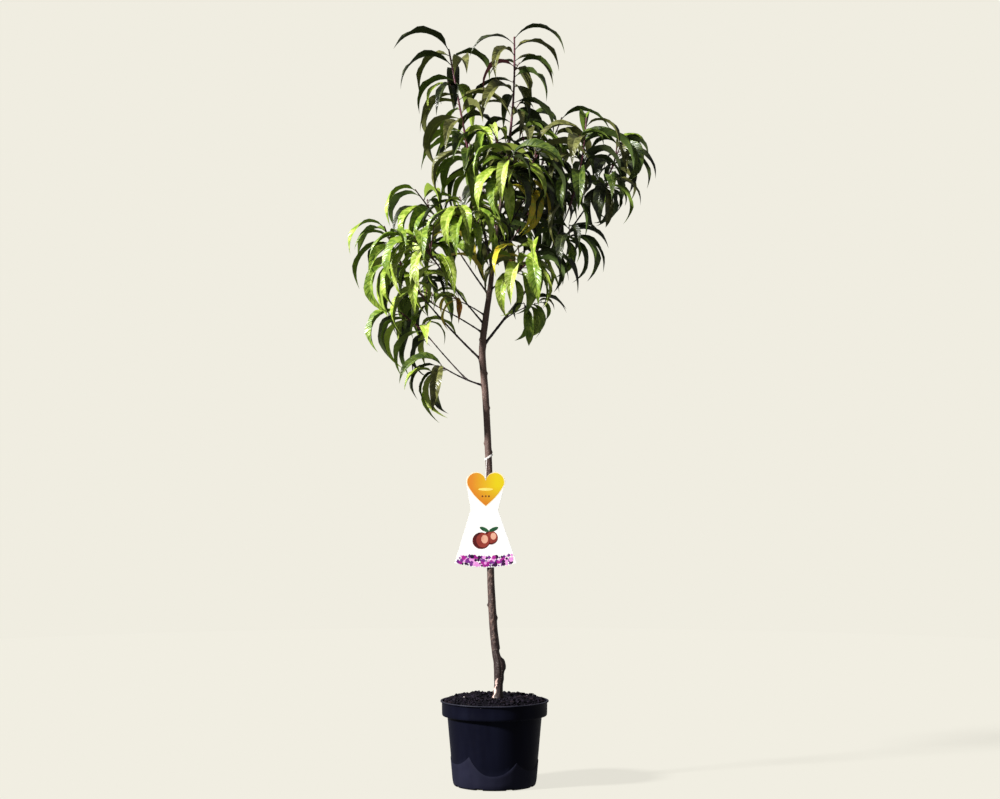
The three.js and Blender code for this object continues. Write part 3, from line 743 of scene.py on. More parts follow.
@dataclass(init=False)
class Crown:
    """Trunk, boughs and masses, grown by the rule that the solids follow.

    The lengths are how many short solids stand for a trunk, bough or stem where leaves keep clear.
    """

    trunk_lengths: int = 26
    bough_lengths: int = 5
    stem_lengths: int = 4
    stem_radii: Pair = (1.8, 1.2)
    stem_sweep: float = 0.45
    stem_first: float = 0.1
    seed_step: int = 11

    def __init__(self) -> None:
        """Grows everything. Side shoots of the looks' own come last, so the rule's leaves go first."""
        shares, radii = even_shares(len(TRUNK_STATIONS) - 1), TRUNK_STATIONS[:, 3]
        line = StationLine(TRUNK_STATIONS[:, (1, 2, 0)])
        self.trunk = Limb(line, lambda share: float(np.interp(share, shares, radii)))
        self.limbs: dict[str, Limb] = {"trunk": self.trunk}
        self.thicket = Thicket()
        self.thicket.add_limb(self.trunk, "trunk", self.trunk_lengths)
        for size in BOUGH_SIZES:
            self.limbs[size.name] = self._bough(size)
            self.thicket.add_limb(self.limbs[size.name], f"bough_{size.name}", self.bough_lengths)
        self.masses = [
            Mass(size, self.seed_step * (i + 1), self._stem(size)) for i, size in enumerate(MASS_SIZES)
        ]
        for mass in self.masses:
            count = mass.size.twigs
            for i in range(count):
                mass.shoots.append(self._shoot(mass.stem, TWIG, Stream(mass.seed, i), i, count))
            self.thicket.add_limb(mass.stem, mass.size.name, self.stem_lengths)
            for twig in mass.shoots:
                self.thicket.add_limb(twig, mass.size.name, 1)
        for mass in self.masses:
            self._grow_leaves(mass, mass.stem, 0, mass.size.leaves, self.stem_first)
            for n, twig in enumerate(mass.shoots):
                self._grow_leaves(mass, twig, n + 1, TWIG.leaves, TWIG.first)
        for mass in self.masses:
            self._grow_spurs(mass)
            for tint, numbers in TURNED.get(mass.size.name, {}).items():
                for i in numbers:
                    mass.leaves[i] = (mass.leaves[i][0], tint)

    def _bough(self, size: BoughSize) -> Limb:
        """Returns a bough's limb."""
        parent = self.limbs[size.on]
        share = parent.line.share_at_height(size.at) if size.on == "trunk" else size.at
        start, tip = parent.line.point(share), vec(*size.tip)
        line = BentLine(start, (start + tip) / 2 + UP * size.lift, tip)
        return Limb(line, taper(*size.radii), parent, size.girth)

    def _stem(self, size: MassSize) -> Limb:
        """The stem of a mass, which goes on from its limb's tip or leaves the trunk below it.

        Args:
            size: The mass.

        Returns:
            The stem.
        """
        limb, tip = self.limbs[size.on or size.name], vec(*size.tip)
        if size.at is None:
            along = limb.line.tangent(1.0)
            start = limb.line.point(1.0) + along * CLEARANCE
        else:
            start = limb.line.point(limb.line.share_at_height(size.at))
            along = unit(tip - start)
        bend = start + along * self.stem_sweep * np.linalg.norm(tip - start)
        root, end = self.stem_radii
        radius = taper(min(root, limb.radius(1.0)), end)
        return Limb(BentLine(start, bend, tip), radius, limb, size.girth)

    @staticmethod
    def _shoot(stem: Limb, kind: Shoots, stream: Stream, i: int, count: int) -> Limb:
        """One of the side shoots of a stem, which lift a little towards their tips.

        Args:
            stem: The stem.
            kind: The kind of shoot.
            stream: Its own stream.
            i: Its number, which turns it by the golden angle.
            count: How many are spread evenly over the stem.

        Returns:
            The shoot.
        """
        share = float(np.interp((i + 0.5) / count, (0, 1), kind.place))
        azimuth = 2 * pi * stream.next() + i * GOLDEN_ANGLE
        length = kind.length * stream.between(kind.spread)
        root, direction = stem.line.point(share), stem.branch(share, azimuth, kind.opening)
        tip = root + direction * length + UP * kind.rise * length
        return Limb(BentLine(root, root + direction * 0.5 * length, tip), taper(*kind.radii), stem)

    @staticmethod
    def _try_leaf(mass: Mass, shoot: Limb, keys: Face, share: float, scale: float) -> Leaf:
        """One try at a leaf. A later try turns it further round its shoot, to either side in turn.

        Args:
            mass: The mass.
            shoot: The shoot.
            keys: Numbers of the shoot, of the leaf on it and of the try.
            share: Where the leaf sits.
            scale: Its size against a full leaf.

        Returns:
            The leaf.
        """
        stream = Stream(mass.seed, *keys)
        _, number, attempt = keys
        turn = Blades.retry_turn * ceil(attempt / 2) * (1 if attempt % 2 else -1)
        azimuth = mass.seed + number * GOLDEN_ANGLE + turn + stream.between(Blades.jitter)
        opening = stream.degrees(Blades.opening) * (1 - Blades.upright * share**6)
        direction = shoot.branch(share, azimuth, opening)
        length = scale * mass.size.leaf * stream.between(Blades.length_spread)
        return Leaf(
            root=shoot.line.point(share),
            heading=unit(vec(direction[0], Blades.flatten * direction[1], 0)),
            length=length,
            rise=asin(np.clip(direction[2], *Blades.steepest)),
            droop=radians(mass.size.droop) * stream.between(Blades.droop_spread),
            width=length * stream.between(Blades.width_spread),
            roll=stream.degrees(Blades.roll),
            twist=stream.degrees(Blades.twist),
            sway=stream.between(Blades.sway),
        )

    def _grow_leaves(
        self, mass: Mass, shoot: Limb, number: int, count: int, first: float, scale: float = 1.0
    ) -> None:
        """Grows leaves along one shoot. A leaf that finds no clear place is skipped.

        Args:
            mass: The mass.
            shoot: The shoot.
            number: Its number in the mass.
            count: How many leaves it has room for.
            first: The share of it that stays bare.
            scale: The leaves' size against full leaves.
        """
        for i in range(count):
            share = first + (1 - first) * (i + 0.6) / count
            for attempt in range(Blades.tries):
                leaf = self._try_leaf(mass, shoot, (number, i, attempt), share, scale)
                guard = leaf.guard(mass.size.name)
                if not self.thicket.blocks(guard):
                    self.thicket.add(guard)
                    tint = Stream(mass.seed, number, i, Blades.tint_key).pick(mass.size.shade.value)
                    mass.leaves.append((leaf, tint))
                    break

    def _grow_spurs(self, mass: Mass) -> None:
        """Carries the rule on to the fine side shoots of a mass, with smaller leaves."""
        for n in range(mass.size.spurs):
            number = SPUR.key + n
            stream = Stream(mass.seed, number)
            spur = self._shoot(mass.stem, SPUR, stream, n, mass.size.spurs)
            before, scale = len(mass.leaves), stream.between(SPUR.scale)
            self._grow_leaves(mass, spur, number, SPUR.leaves, SPUR.first, scale)
            if len(mass.leaves) > before:
                mass.shoots.append(spur)


# ---- making meshes


def only(obj: Object) -> None:
    """Selects one object alone and makes it active."""
    bpy.ops.object.select_all(action="DESELECT")
    obj.select_set(True)
    bpy.context.view_layer.objects.active = obj


def linked(name: str, data: bpy.types.ID) -> Object:
    """Returns a new object that holds the data, linked to the scene."""
    obj = bpy.data.objects.new(name, data)
    bpy.context.scene.collection.objects.link(obj)
    return obj


def finished(obj: Object, slot: str, *nodes: str, angle: float = 0.0) -> Object:
    """Finishes a piece.

    Args:
        obj: The piece.
        slot: Its slot in the record; not used.
        nodes: The plain solids that it stands for.
        angle: The sharpest edge shaded smooth, in degrees, or 0 for none.

    Returns:
        The piece.
    """
    if angle:
        only(obj)
        bpy.ops.object.shade_smooth_by_angle(angle=radians(angle))
        obj.select_set(False)
    if nodes:
        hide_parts(*nodes)
    return obj


class MeshPile:
    """Points and faces of many small things, joined into one mesh."""

    def __init__(self) -> None:
        """Starts empty."""
        self.points: list[Array] = []
        self.faces: list[Face] = []
        self.slots: list[int] = []
        self.places: list[Pair] = []
        self.count = 0

    def add(self, points: Array, faces: Sequence[Face], slots: int | Sequence[int] = 0) -> None:
        """Adds one thing.

        Args:
            points: Its points, in millimetres.
            faces: Its faces, by point number.
            slots: Their material slots.
        """
        self.points.append(points)
        self.faces += [tuple(i + self.count for i in face) for face in faces]
        self.slots += [slots] * len(faces) if isinstance(slots, int) else slots
        self.count += len(points)

    def add_rings(self, points: Array, slot: int = 0, turned: bool = False) -> None:
        """Adds a skin over rings of points, closed at both ends.

        Args:
            points: The points of each ring, against the clock seen from the last.
            slot: The skin's material slot.
            turned: Whether the points run with the clock.
        """
        rings, sides = points.shape[:2]
        first, last = (tuple(range(a, a + sides)) for a in (0, (rings - 1) * sides))
        ends = [first, last[::-1]] if turned else [first[::-1], last]
        self.add(points.reshape(-1, 3), ring_faces(rings, sides, turned=turned) + ends, slot)

    def add_tube(self, line: Line, shares: Sequence[float], radii: Array, sides: int) -> None:
        """Adds a closed tube along a line, with the radius at each ring or at each of its points."""
        centres, ways = line.rings(shares, sides)
        self.add_rings(centres[:, None] + ways * radii.reshape(len(shares), -1, 1))

    def add_plate(self, outline: Sequence[Pair], back: float, front: float, slot: int = 0) -> None:
        """Adds a plate between two values of y. The outline runs against the clock from the front."""
        points = [[(x, y, z) for x, z in outline] for y in (front, back)]
        self.add_rings(np.array(points), slot, turned=True)

    def build(self, name: str, *materials: Material) -> Object:
        """Makes the mesh and its object.

        Args:
            name: Their name.
            materials: The material slots.

        Returns:
            The object.
        """
        mesh = bpy.data.meshes.new(name)
        mesh.from_pydata((np.vstack(self.points) * MM).tolist(), [], self.faces)
        mesh.polygons.foreach_set("material_index", self.slots)
        if self.places:
            layer = mesh.uv_layers.new(name="place")
            layer.data.foreach_set("uv", np.array(self.places, np.float32).ravel())
        mesh.update()
        for material in materials:
            mesh.materials.append(material)
        return linked(name, mesh)


# ---- shader parts


class Graph:
    """A node tree on its way, with short calls for the nodes that the finishes use."""

    def __init__(self, tree: bpy.types.NodeTree) -> None:
        """Takes in the tree."""
        self.tree = tree

    def feed(self, socket: Socket, value: object) -> None:
        """Links an input, or gives it a number or a colour.

        Args:
            socket: The input.
            value: What it gets.
        """
        if isinstance(value, Socket):
            self.tree.links.new(value, socket)
        elif socket.type == "RGBA":
            socket.default_value = (*value, 1.0)
        else:
            socket.default_value = value

    def node(self, kind: str, feeds: Mapping | None = None, **settings: object) -> bpy.types.Node:
        """Adds a shader node.

        Args:
            kind: Its type.
            feeds: What its inputs get, by number or name.
            settings: Its own settings.

        Returns:
            The node.
        """
        node = self.tree.nodes.new(f"ShaderNode{kind}")
        for name, value in settings.items():
            setattr(node, name, value)
        for key, value in (feeds or {}).items():
            self.feed(node.inputs[key], value)
        return node

    def math(self, operation: str, *values: object) -> Socket:
        """Returns what an operation makes of numbers or sockets."""
        return self.node("Math", dict(enumerate(values)), operation=operation).outputs[0]

    def times(self, first: object, second: object) -> Socket:
        """Returns a product."""
        return self.math("MULTIPLY", first, second)

    def plus(self, first: object, second: object) -> Socket:
        """Returns a sum."""
        return self.math("ADD", first, second)

    def mix(self, share: object, first: object, second: object) -> Socket:
        """Returns two colours mixed, with a share of the second."""
        return self.node("Mix", {0: share, 6: first, 7: second}, data_type="RGBA").outputs[2]

    def span(self, value: Socket, source: tuple, target: tuple = (0.0, 1.0), **settings: str) -> Socket:
        """Returns a value mapped from one span to another, and kept inside it."""
        feeds = dict(enumerate((value, *source, *target)))
        return self.node("MapRange", feeds, clamp=True, **settings).outputs[0]

    def noise(self, place: Socket, scale: object, detail: float) -> Socket:
        """Returns noise at a place."""
        feeds = {"Vector": place, "Scale": scale, "Detail": detail}
        return self.node("TexNoise", feeds).outputs[0]

    def place(self) -> Socket:
        """Returns Object coordinates."""
        return self.node("TexCoord").outputs["Object"]

    def axes(self, place: Socket | None = None) -> Sequence[Socket]:
        """Returns the three parts of a place, which is in metres where none is named."""
        return self.node("SeparateXYZ", {0: place or self.place()}).outputs


class Effect(Enum):
    """A surface effect that several materials share, with its inputs' values. None is a colour."""

    MOTTLE = {"First": None, "Second": None, "Scale": 40.0, "Low": 0.4, "High": 0.65}
    GRAIN = {"Scale": 400.0, "Smooth": 0.35, "Rough": 0.55}
    VEINS = {"Pairs": 13.0, "Lean": 1.1}


class EffectShelf:
    """Builds each shared effect once, as a node group, and places it in materials."""

    def __init__(self) -> None:
        """Starts empty."""
        self.built: dict[Effect, bpy.types.NodeTree] = {}

    def place(self, graph: Graph, effect: Effect, **values: object) -> Sockets:
        """Places an effect in a material.

        Args:
            graph: The material.
            effect: Which effect.
            values: Its inputs by name.

        Returns:
            Its outputs by name.
        """
        if effect not in self.built:
            self.built[effect] = self._build(effect)
        return graph.node("Group", values, node_tree=self.built[effect]).outputs

    def _build(self, effect: Effect) -> bpy.types.NodeTree:
        """Builds an effect's node group.

        Args:
            effect: Which effect.

        Returns:
            The group.
        """
        tree = bpy.data.node_groups.new(effect.name.lower(), "ShaderNodeTree")
        for name, value in effect.value.items():
            kind = "NodeSocketColor" if value is None else "NodeSocketFloat"
            socket = tree.interface.new_socket(name=name, in_out="INPUT", socket_type=kind)
            if value is not None:
                socket.default_value = value
        maker = {Effect.MOTTLE: self._mottle, Effect.GRAIN: self._grain, Effect.VEINS: self._veins}[effect]
        made = maker(Graph(tree), tree.nodes.new("NodeGroupInput").outputs)
        for name in made:
            kind = "NodeSocketColor" if name == "Colour" else "NodeSocketFloat"
            tree.interface.new_socket(name=name, in_out="OUTPUT", socket_type=kind)
        end = tree.nodes.new("NodeGroupOutput")
        for name, socket in made.items():
            tree.links.new(socket, end.inputs[name])
        return tree

    @staticmethod
    def _mottle(graph: Graph, ins: Sockets) -> dict[str, Socket]:
        """Returns two colours in soft patches, and a mask of the patches."""
        patches = graph.noise(graph.place(), ins["Scale"], 5.0)
        mask = graph.span(patches, (ins["Low"], ins["High"]), interpolation_type="SMOOTHSTEP")
        return {"Colour": graph.mix(mask, ins["First"], ins["Second"]), "Mask": mask}

    @staticmethod
    def _grain(graph: Graph, ins: Sockets) -> dict[str, Socket]:
        """Returns the height of a fine uneven surface, and a roughness that follows it."""
        place = graph.place()
        fine = graph.noise(place, ins["Scale"], 3.0)
        broad = graph.noise(place, graph.times(ins["Scale"], 0.12), 3.0)
        rough = graph.span(broad, (0.3, 0.7), (ins["Smooth"], ins["Rough"]))
        return {"Height": graph.plus(fine, graph.times(broad, 1.5)), "Roughness": rough}

    @staticmethod
    def _veins(graph: Graph, ins: Sockets) -> dict[str, Socket]:
        """A leaf's midrib and side veins, on its own map.

        Args:
            graph: The group's nodes.
            ins: Its inputs.

        Returns:
            Masks of the midrib and of the swellings between the veins, and their height.
        """
        side, along, _ = graph.axes(graph.node("UVMap", uv_map="place").outputs[0])
        out = graph.math("ABSOLUTE", graph.math("SUBTRACT", side, 0.5))
        midrib = graph.span(out, (0.015, 0.05), (1.0, 0.0))
        lean = graph.times(graph.times(out, ins["Lean"]), 0.16)
        wave = graph.times(graph.math("SUBTRACT", along, lean), graph.times(ins["Pairs"], tau))
        crest = graph.plus(graph.times(graph.math("SINE", wave), 0.5), 0.5)
        sunk = graph.plus(graph.times(midrib, 2.0), graph.times(graph.span(crest, (0.8, 1.0)), 0.6))
        swollen = graph.span(graph.noise(graph.place(), 75.0, 2.0), (0.42, 0.6))
        return {
            "Midrib": midrib,
            "Ripple": graph.times(crest, swollen),
            "Height": graph.math("SUBTRACT", crest, sunk),
        }


SHELF = EffectShelf()


class Surface(Graph):
    """A material on its way: its nodes and its Principled shader."""

    def __init__(self, name: str) -> None:
        """Starts a material of that name."""
        self.material = bpy.data.materials.new(name)
        self.material.use_nodes = True
        super().__init__(self.material.node_tree)
        self.shader = self.tree.nodes["Principled BSDF"]

    def stretched_noise(self, stretch: Triple, scale: float, detail: float, source: Pair) -> Socket:
        """Returns a mask of noise drawn out along some axes. source gives the noise at 0 and 1."""
        place = self.node("Mapping", {"Vector": self.place(), "Scale": stretch}).outputs[0]
        return self.span(self.noise(place, scale, detail), source)

    def mottle(self, first: Colour, second: Colour, scale: float, source: Pair) -> Sockets:
        """Returns patches of two colours and their mask. source gives the noise at their edges."""
        values = {"First": first, "Second": second, "Scale": scale, "Low": source[0], "High": source[1]}
        return SHELF.place(self, Effect.MOTTLE, **values)

    def grain(self, scale: float, smooth: float, rough: float) -> Socket:
        """Sets an uneven roughness and returns the height of the grain that makes it."""
        grain = SHELF.place(self, Effect.GRAIN, Scale=scale, Smooth=smooth, Rough=rough)
        self.feed(self.shader.inputs["Roughness"], grain["Roughness"])
        return grain["Height"]

    def finish(
        self, colour: object, height: Socket, depth: float, strength: float = 1.0, specular: float = 0.5
    ) -> Material:
        """Feeds colour and relief into the shader.

        Args:
            colour: The colour.
            height: The relief, about 0 to 1.
            depth: Its depth, in millimetres.
            strength: How strongly it shows.
            specular: The specular level.

        Returns:
            The material.
        """
        bump = self.node("Bump", {"Strength": strength, "Distance": depth * MM, "Height": height})
        self.feed(self.shader.inputs["Base Color"], colour)
        self.feed(self.shader.inputs["Normal"], bump.outputs[0])
        self.shader.inputs["Specular IOR Level"].default_value = specular
        return self.material


# ---- finishes


@dataclass(frozen=True)
class LeafFinish:
    """One tint of leaf: its face, the paler patches on it, partly its own mottling and partly painted
    highlight, its underside and its midrib.
    """

    tint: Tint
    face: Colour
    patch_and_highlight: Colour
    under: Colour
    rib: Colour
    gloss: Pair = (0.24, 0.42)

    def upper(self) -> Material:
        """Returns the material of the leaf's face, glossy over sunken veins, with painted highlight in its
        paler patches and along the ripples between the veins.
        """
        coat = Surface(f"leaf_{self.tint.value}")
        veins = SHELF.place(coat, Effect.VEINS)
        # Paler patches: the leaf's own mottling and painted highlight.
        colour = coat.mottle(self.face, self.patch_and_highlight, 80.0, (0.46, 0.62))["Colour"]
        # Paler colour on the ripples between the veins: painted highlight.
        colour = coat.mix(coat.times(veins["Ripple"], 0.85), colour, self.patch_and_highlight)
        colour = coat.mix(coat.times(veins["Midrib"], 0.75), colour, self.rib)
        coat.grain(900.0, *self.gloss)
        return coat.finish(colour, veins["Height"], 0.6)

    def lower(self) -> Material:
        """Returns the material of the underside, paler and duller, with a raised midrib."""
        coat = Surface(f"leaf_{self.tint.value}_underside")
        veins = SHELF.place(coat, Effect.VEINS)
        colour = coat.mottle(self.under, self.face, 70.0, (0.5, 0.95))["Colour"]
        colour = coat.mix(coat.times(veins["Midrib"], 0.8), colour, self.rib)
        coat.grain(900.0, 0.5, 0.65)
        return coat.finish(colour, coat.times(veins["Height"], -1.0), 0.2, 0.6, 0.2)


# The second colour of each is the paler patch, partly painted highlight.
LEAF_FINISHES = (
    LeafFinish(
        Tint.DARK, (0.008, 0.012, 0.004), (0.032, 0.042, 0.012), (0.034, 0.048, 0.014), (0.1, 0.13, 0.04)
    ),
    LeafFinish(
        Tint.DEEP, (0.03, 0.058, 0.007), (0.105, 0.155, 0.022), (0.06, 0.095, 0.02), (0.16, 0.22, 0.05)
    ),
    LeafFinish(Tint.OLIVE, (0.06, 0.064, 0.015), (0.17, 0.175, 0.05), (0.14, 0.15, 0.045), (0.26, 0.27, 0.1)),
    LeafFinish(Tint.GREEN, (0.1, 0.185, 0.012), (0.27, 0.38, 0.045), (0.14, 0.21, 0.032), (0.3, 0.42, 0.08)),
    LeafFinish(Tint.FRESH, (0.2, 0.31, 0.018), (0.45, 0.56, 0.1), (0.24, 0.34, 0.045), (0.5, 0.6, 0.16)),
    LeafFinish(Tint.LIME, (0.31, 0.43, 0.04), (0.55, 0.64, 0.2), (0.38, 0.48, 0.08), (0.7, 0.74, 0.3)),
    LeafFinish(Tint.YELLOW, (0.66, 0.48, 0.02), (0.42, 0.44, 0.03), (0.56, 0.46, 0.06), (0.74, 0.62, 0.14)),
    LeafFinish(Tint.RUSSET, (0.34, 0.115, 0.014), (0.52, 0.3, 0.03), (0.28, 0.15, 0.04), (0.46, 0.28, 0.08)),
    LeafFinish(Tint.MAROON, (0.12, 0.01, 0.026), (0.2, 0.045, 0.05), (0.26, 0.08, 0.1), (0.34, 0.12, 0.12)),
)


@dataclass(frozen=True)
class BarkFinish:
    """Bark with pale streaks along the wood and level breathing pores.

    upper is the paler base colour further up: partly the younger bark, partly painted light where the
    crown shades the trunk. Up to the height flakes, in metres, the dark red foot sheds a pale flake
    that slants up the wood.
    """

    name: str
    base: Colour
    streak: Colour
    pore: Colour
    depth: float
    gloss: float
    specular: float = 0.5
    upper: Colour | None = None
    flakes: float = 0.0
    foot: Colour = (0.017, 0.006, 0.006)
    flake: Colour = (0.74, 0.52, 0.47)
    flake_shift: float = 0.0296
    flake_lean: float = -0.19
    flake_wander: float = 0.012

    def material(self) -> Material:
        """Returns the bark's material."""
        coat = Surface(self.name)
        streaks = coat.stretched_noise((1.0, 1.0, 0.5), 230.0, 5.0, (0.50, 0.66))
        pores = coat.stretched_noise((0.32, 0.32, 1.0), 520.0, 2.0, (0.62, 0.72))
        darker = tuple(c * 0.6 for c in self.base)
        colour = coat.mottle(self.base, darker, 60.0, (0.4, 0.7))["Colour"]
        # Paler further up: younger bark, and painted light where the crown shades the trunk.
        if self.upper:
            colour = coat.mix(coat.span(coat.axes()[2], (0.30, 0.78)), colour, self.upper)
        colour = coat.mix(coat.times(streaks, 0.6), colour, self.streak)
        colour = coat.mix(coat.times(pores, 0.6), colour, self.pore)
        relief = coat.plus(coat.times(pores, 1.4), streaks)
        if self.flakes:
            x, _, height = coat.axes()
            dark = coat.span(height, (self.flakes + 0.040, self.flakes + 0.085), (0.90, 0.0))
            colour = coat.mix(dark, colour, self.foot)
            wander = coat.noise(coat.place(), 150.0, 3.0)
            across = coat.plus(x, coat.math("MULTIPLY_ADD", height, self.flake_lean, self.flake_shift))
            across = coat.math("MULTIPLY_ADD", wander, self.flake_wander, across)
            band = coat.span(coat.math("ABSOLUTE", across), (0.0017, 0.0023), (1.0, 0.0))
            shed = coat.times(band, coat.span(height, (self.flakes, self.flakes + 0.003), (1.0, 0.0)))
            colour = coat.mix(shed, colour, self.flake)
            relief = coat.plus(relief, coat.times(shed, 2.0))
        grain = coat.grain(1500.0, self.gloss, self.gloss + 0.14)
        relief = coat.plus(relief, coat.times(grain, 0.5))
        return coat.finish(colour, relief, self.depth, specular=self.specular)


TRUNK_BARK = BarkFinish(
    "trunk_bark",
    (0.036, 0.018, 0.016),
    (0.245, 0.150, 0.120),
    (0.36, 0.26, 0.22),
    0.35,
    0.46,
    specular=0.6,
    # Paler upper bark, partly painted light against the crown's shade.
    upper=(0.130, 0.076, 0.064),
    flakes=0.216,
)
BOUGH_BARK = BarkFinish(
    "bough_bark", (0.020, 0.010, 0.012), (0.075, 0.045, 0.040), (0.17, 0.12, 0.10), 0.22, 0.38
)
SHOOT_BARK = BarkFinish(
    "shoot_bark", (0.115, 0.024, 0.048), (0.16, 0.065, 0.055), (0.26, 0.13, 0.13), 0.08, 0.34
)


@dataclass(frozen=True)
class PlasticFinish:
    """Moulded pot plastic: nearly black, with dust that gathers low down. On the lip's top and the
    band's ledge, both its colours are a paler painted highlight.
    """

    name: str
    base: Colour
    dust_and_highlight: Colour
    smooth: float
    rough: float

    def material(self) -> Material:
        """Returns the plastic's material."""
        coat = Surface(self.name)
        low = coat.span(coat.axes()[2], (0.0, 0.055), (0.55, 0.0))
        flow = coat.stretched_noise((1.0, 1.0, 0.15), 34.0, 2.0, (0.40, 0.72))
        patches = coat.mottle(self.base, self.dust_and_highlight, 24.0, (0.5, 0.95))["Mask"]
        colour = coat.mix(flow, self.base, self.dust_and_highlight)
        caked = tuple(c * 2.2 for c in self.dust_and_highlight)
        colour = coat.mix(coat.times(low, patches), colour, caked)
        grain = coat.grain(700.0, self.smooth, self.rough)
        return coat.finish(colour, grain, 0.05, 0.5, 0.06)


@dataclass(frozen=True)
class PatchFinish:
    """Two colours in soft patches over a fine grain. The sizes left as they are give printed card."""

    name: str
    first: Colour
    second: Colour
    scale: float = 60.0
    depth: float = 0.02
    smooth: float = 0.3
    rough: float = 0.42
    specular: float = 0.4

    def material(self) -> Material:
        """Returns the material."""
        coat = Surface(self.name)
        colour = coat.mottle(self.first, self.second, self.scale, (0.4, 0.65))["Colour"]
        grain = coat.grain(self.scale * 5, self.smooth, self.rough)
        return coat.finish(colour, grain, self.depth, specular=self.specular)


def earth(name: str, first: Colour, second: Colour, scale: float = 90.0) -> Material:
    """Returns the material of potting mix, or of one of the bits in it."""
    return PatchFinish(name, first, second, scale, 0.8, 0.65, 0.9, 0.1).material()


def prints(*colours: tuple[str, Colour, Colour]) -> list[Material]:
    """Returns the materials of printed shapes, each in two near colours."""
    return [PatchFinish(f"print_{name}", first, second).material() for name, first, second in colours]


@dataclass(frozen=True)
class HeartFinish:
    """The tag's printed heart: orange on one side, yellow on the other, redder below.

    x and z are its middle and reach its half size, in millimetres.
    """

    name: str
    left: Colour
    low: Colour
    right: Colour
    x: float
    z: float
    reach: float

    def material(self) -> Material:
        """Returns the printed heart's material."""
        coat = Surface(self.name)
        x, _, z = coat.axes()
        sides = [(self.x + self.reach * share) * MM for share in (-0.75, 0.55)]
        levels = [(self.z + self.reach * share) * MM for share in (-0.9, 0.1)]
        down = coat.span(z, levels, (1.0, 0.0))
        colour = coat.mix(coat.span(x, sides), self.left, self.right)
        colour = coat.mix(coat.times(down, 0.75), colour, self.low)
        return coat.finish(colour, coat.grain(1200.0, 0.28, 0.4), 0.02, 0.4)


# ---- wood


@dataclass(frozen=True)
class Knob:
    """A bump on the trunk, or a hollow where out is below zero.

    turn is in degrees from the right, and wide and tall are its half sizes. The higher edge is, the
    steeper are its sides.
    """

    z: float
    turn: float
    wide: float
    tall: float
    out: float
    edge: float = 2.0


@dataclass
class TrunkWood:
    """The trunk with its bark in relief: pores, ridges, old bud scars and the graft."""

    crown: Crown
    foot: float = 174.3
    sides: int = 40
    ring_gap: float = 1.6
    pores: int = 420
    pores_end: float = 1260.0
    fade: float = 30.0
    rough_below: float = 420.0
    rough_fade: float = 200.0
    knobs: tuple[Knob, ...] = (
        Knob(246, 2, 9, 12, 1.7, 8), Knob(267, 0, 8, 9.5, -2.8, 6),
        Knob(240, -72, 2.2, 22, -1.2, 4), Knob(226, 0, 9, 7, -1.3),
        Knob(190, 0, 99, 26, -2.3), Knob(366, 180, 2.6, 3.2, 2.6),
        Knob(340, 5, 2.6, 4.4, 2.2), Knob(300, -60, 3.4, 3.4, 1.2),
        Knob(420, -120, 3.0, 3.0, 1.2), Knob(505, 20, 2.8, 2.8, 1.3),
        Knob(548, 190, 2.8, 2.8, 1.2), Knob(676, -5, 3.4, 3.4, 2.2),
        Knob(694, 176, 3.2, 3.2, 2.0), Knob(742, -80, 3.0, 3.0, 1.4),
        Knob(766, 8, 3.0, 3.0, 1.6), Knob(836, -2, 3.0, 3.0, 2.0),
        Knob(905, 180, 3.0, 3.0, 1.4),
    )

    def build(self) -> Object:
        """Returns the finished trunk, whose relief fades out towards its tip."""
        trunk = self.crown.trunk
        first = trunk.line.share_at_height(self.foot)
        shares = first + (1 - first) * even_shares(int((TRUNK_TOP - self.foot) / self.ring_gap))
        centres, ways = trunk.line.rings(shares, self.sides)
        base = trunk.radii(shares)[:, None]
        points = centres[:, None] + ways * base[:, :, None]
        fade = np.clip((TRUNK_TOP - centres[:, 2:3]) / self.fade, 0, 1)
        pile = MeshPile()
        pile.add_tube(trunk.line, shares, base + self._relief(points, ways, base) * fade, self.sides)
        return finished(pile.build("trunk", TRUNK_BARK.material()), "trunk_bark", "trunk", angle=60)

    def _relief(self, points: Array, ways: Array, base: Array) -> Array:
        """How far the bark stands out at each point.

        Args:
            points: Points on the smooth trunk.
            ways: The way out at each point.
            base: The smooth trunk's radius.

        Returns:
            The offset along the way out.
        """
        ridges = np.array(
            [
                noise.noise((w[0] * 1.7, w[1] * 1.7, p[2] * 0.018)) * 0.5
                + noise.noise((w[0] * 4.5, w[1] * 4.5, p[2] * 0.06 + 9)) * 0.22
                for p, w in zip(points.reshape(-1, 3), ways.reshape(-1, 3))
            ]
        ).reshape(points.shape[:2])
        out = ridges * (0.75 + 1.1 * np.clip((self.rough_below - points[:, :, 2]) / self.rough_fade, 0, 1))
        for knob in (*self.knobs, *self._pores(), *self._collars()):
            near = np.nonzero(np.abs(points[:, 0, 2] - knob.z) < 3 * knob.tall + 2)[0]
            if len(near):
                rows = slice(near[0], near[-1] + 1)
                turn = radians(knob.turn)
                facing = ways[rows, :, 0] * cos(turn) + ways[rows, :, 1] * sin(turn)
                aside = np.arccos(np.clip(facing, -1, 1)) * base[rows] / knob.wide
                gap = np.hypot(aside, (points[rows, :, 2] - knob.z) / knob.tall)
                out[rows] += knob.out * np.exp(-(gap**knob.edge))
        return out

    def _pores(self) -> list[Knob]:
        """Returns the breathing pores, strewn over the trunk."""
        stream = Stream(5, 3)
        spans = ((self.foot, self.pores_end), (0, 360), (1.2, 3.0), (0.5, 0.9), (0.15, 0.4))
        return [Knob(*(stream.between(span) for span in spans)) for _ in range(self.pores)]

    def _collars(self) -> list[Knob]:
        """Returns the swelling at the root of each bough that the trunk carries."""
        collars = []
        for size in BOUGH_SIZES:
            if size.on == "trunk":
                way = self.crown.limbs[size.name].line.tangent(0.0)
                wide = size.radii[0] * 1.7
                turn = degrees(atan2(way[1], way[0]))
                collars.append(Knob(size.at + 2, turn, wide, wide, 1.3))
        return collars


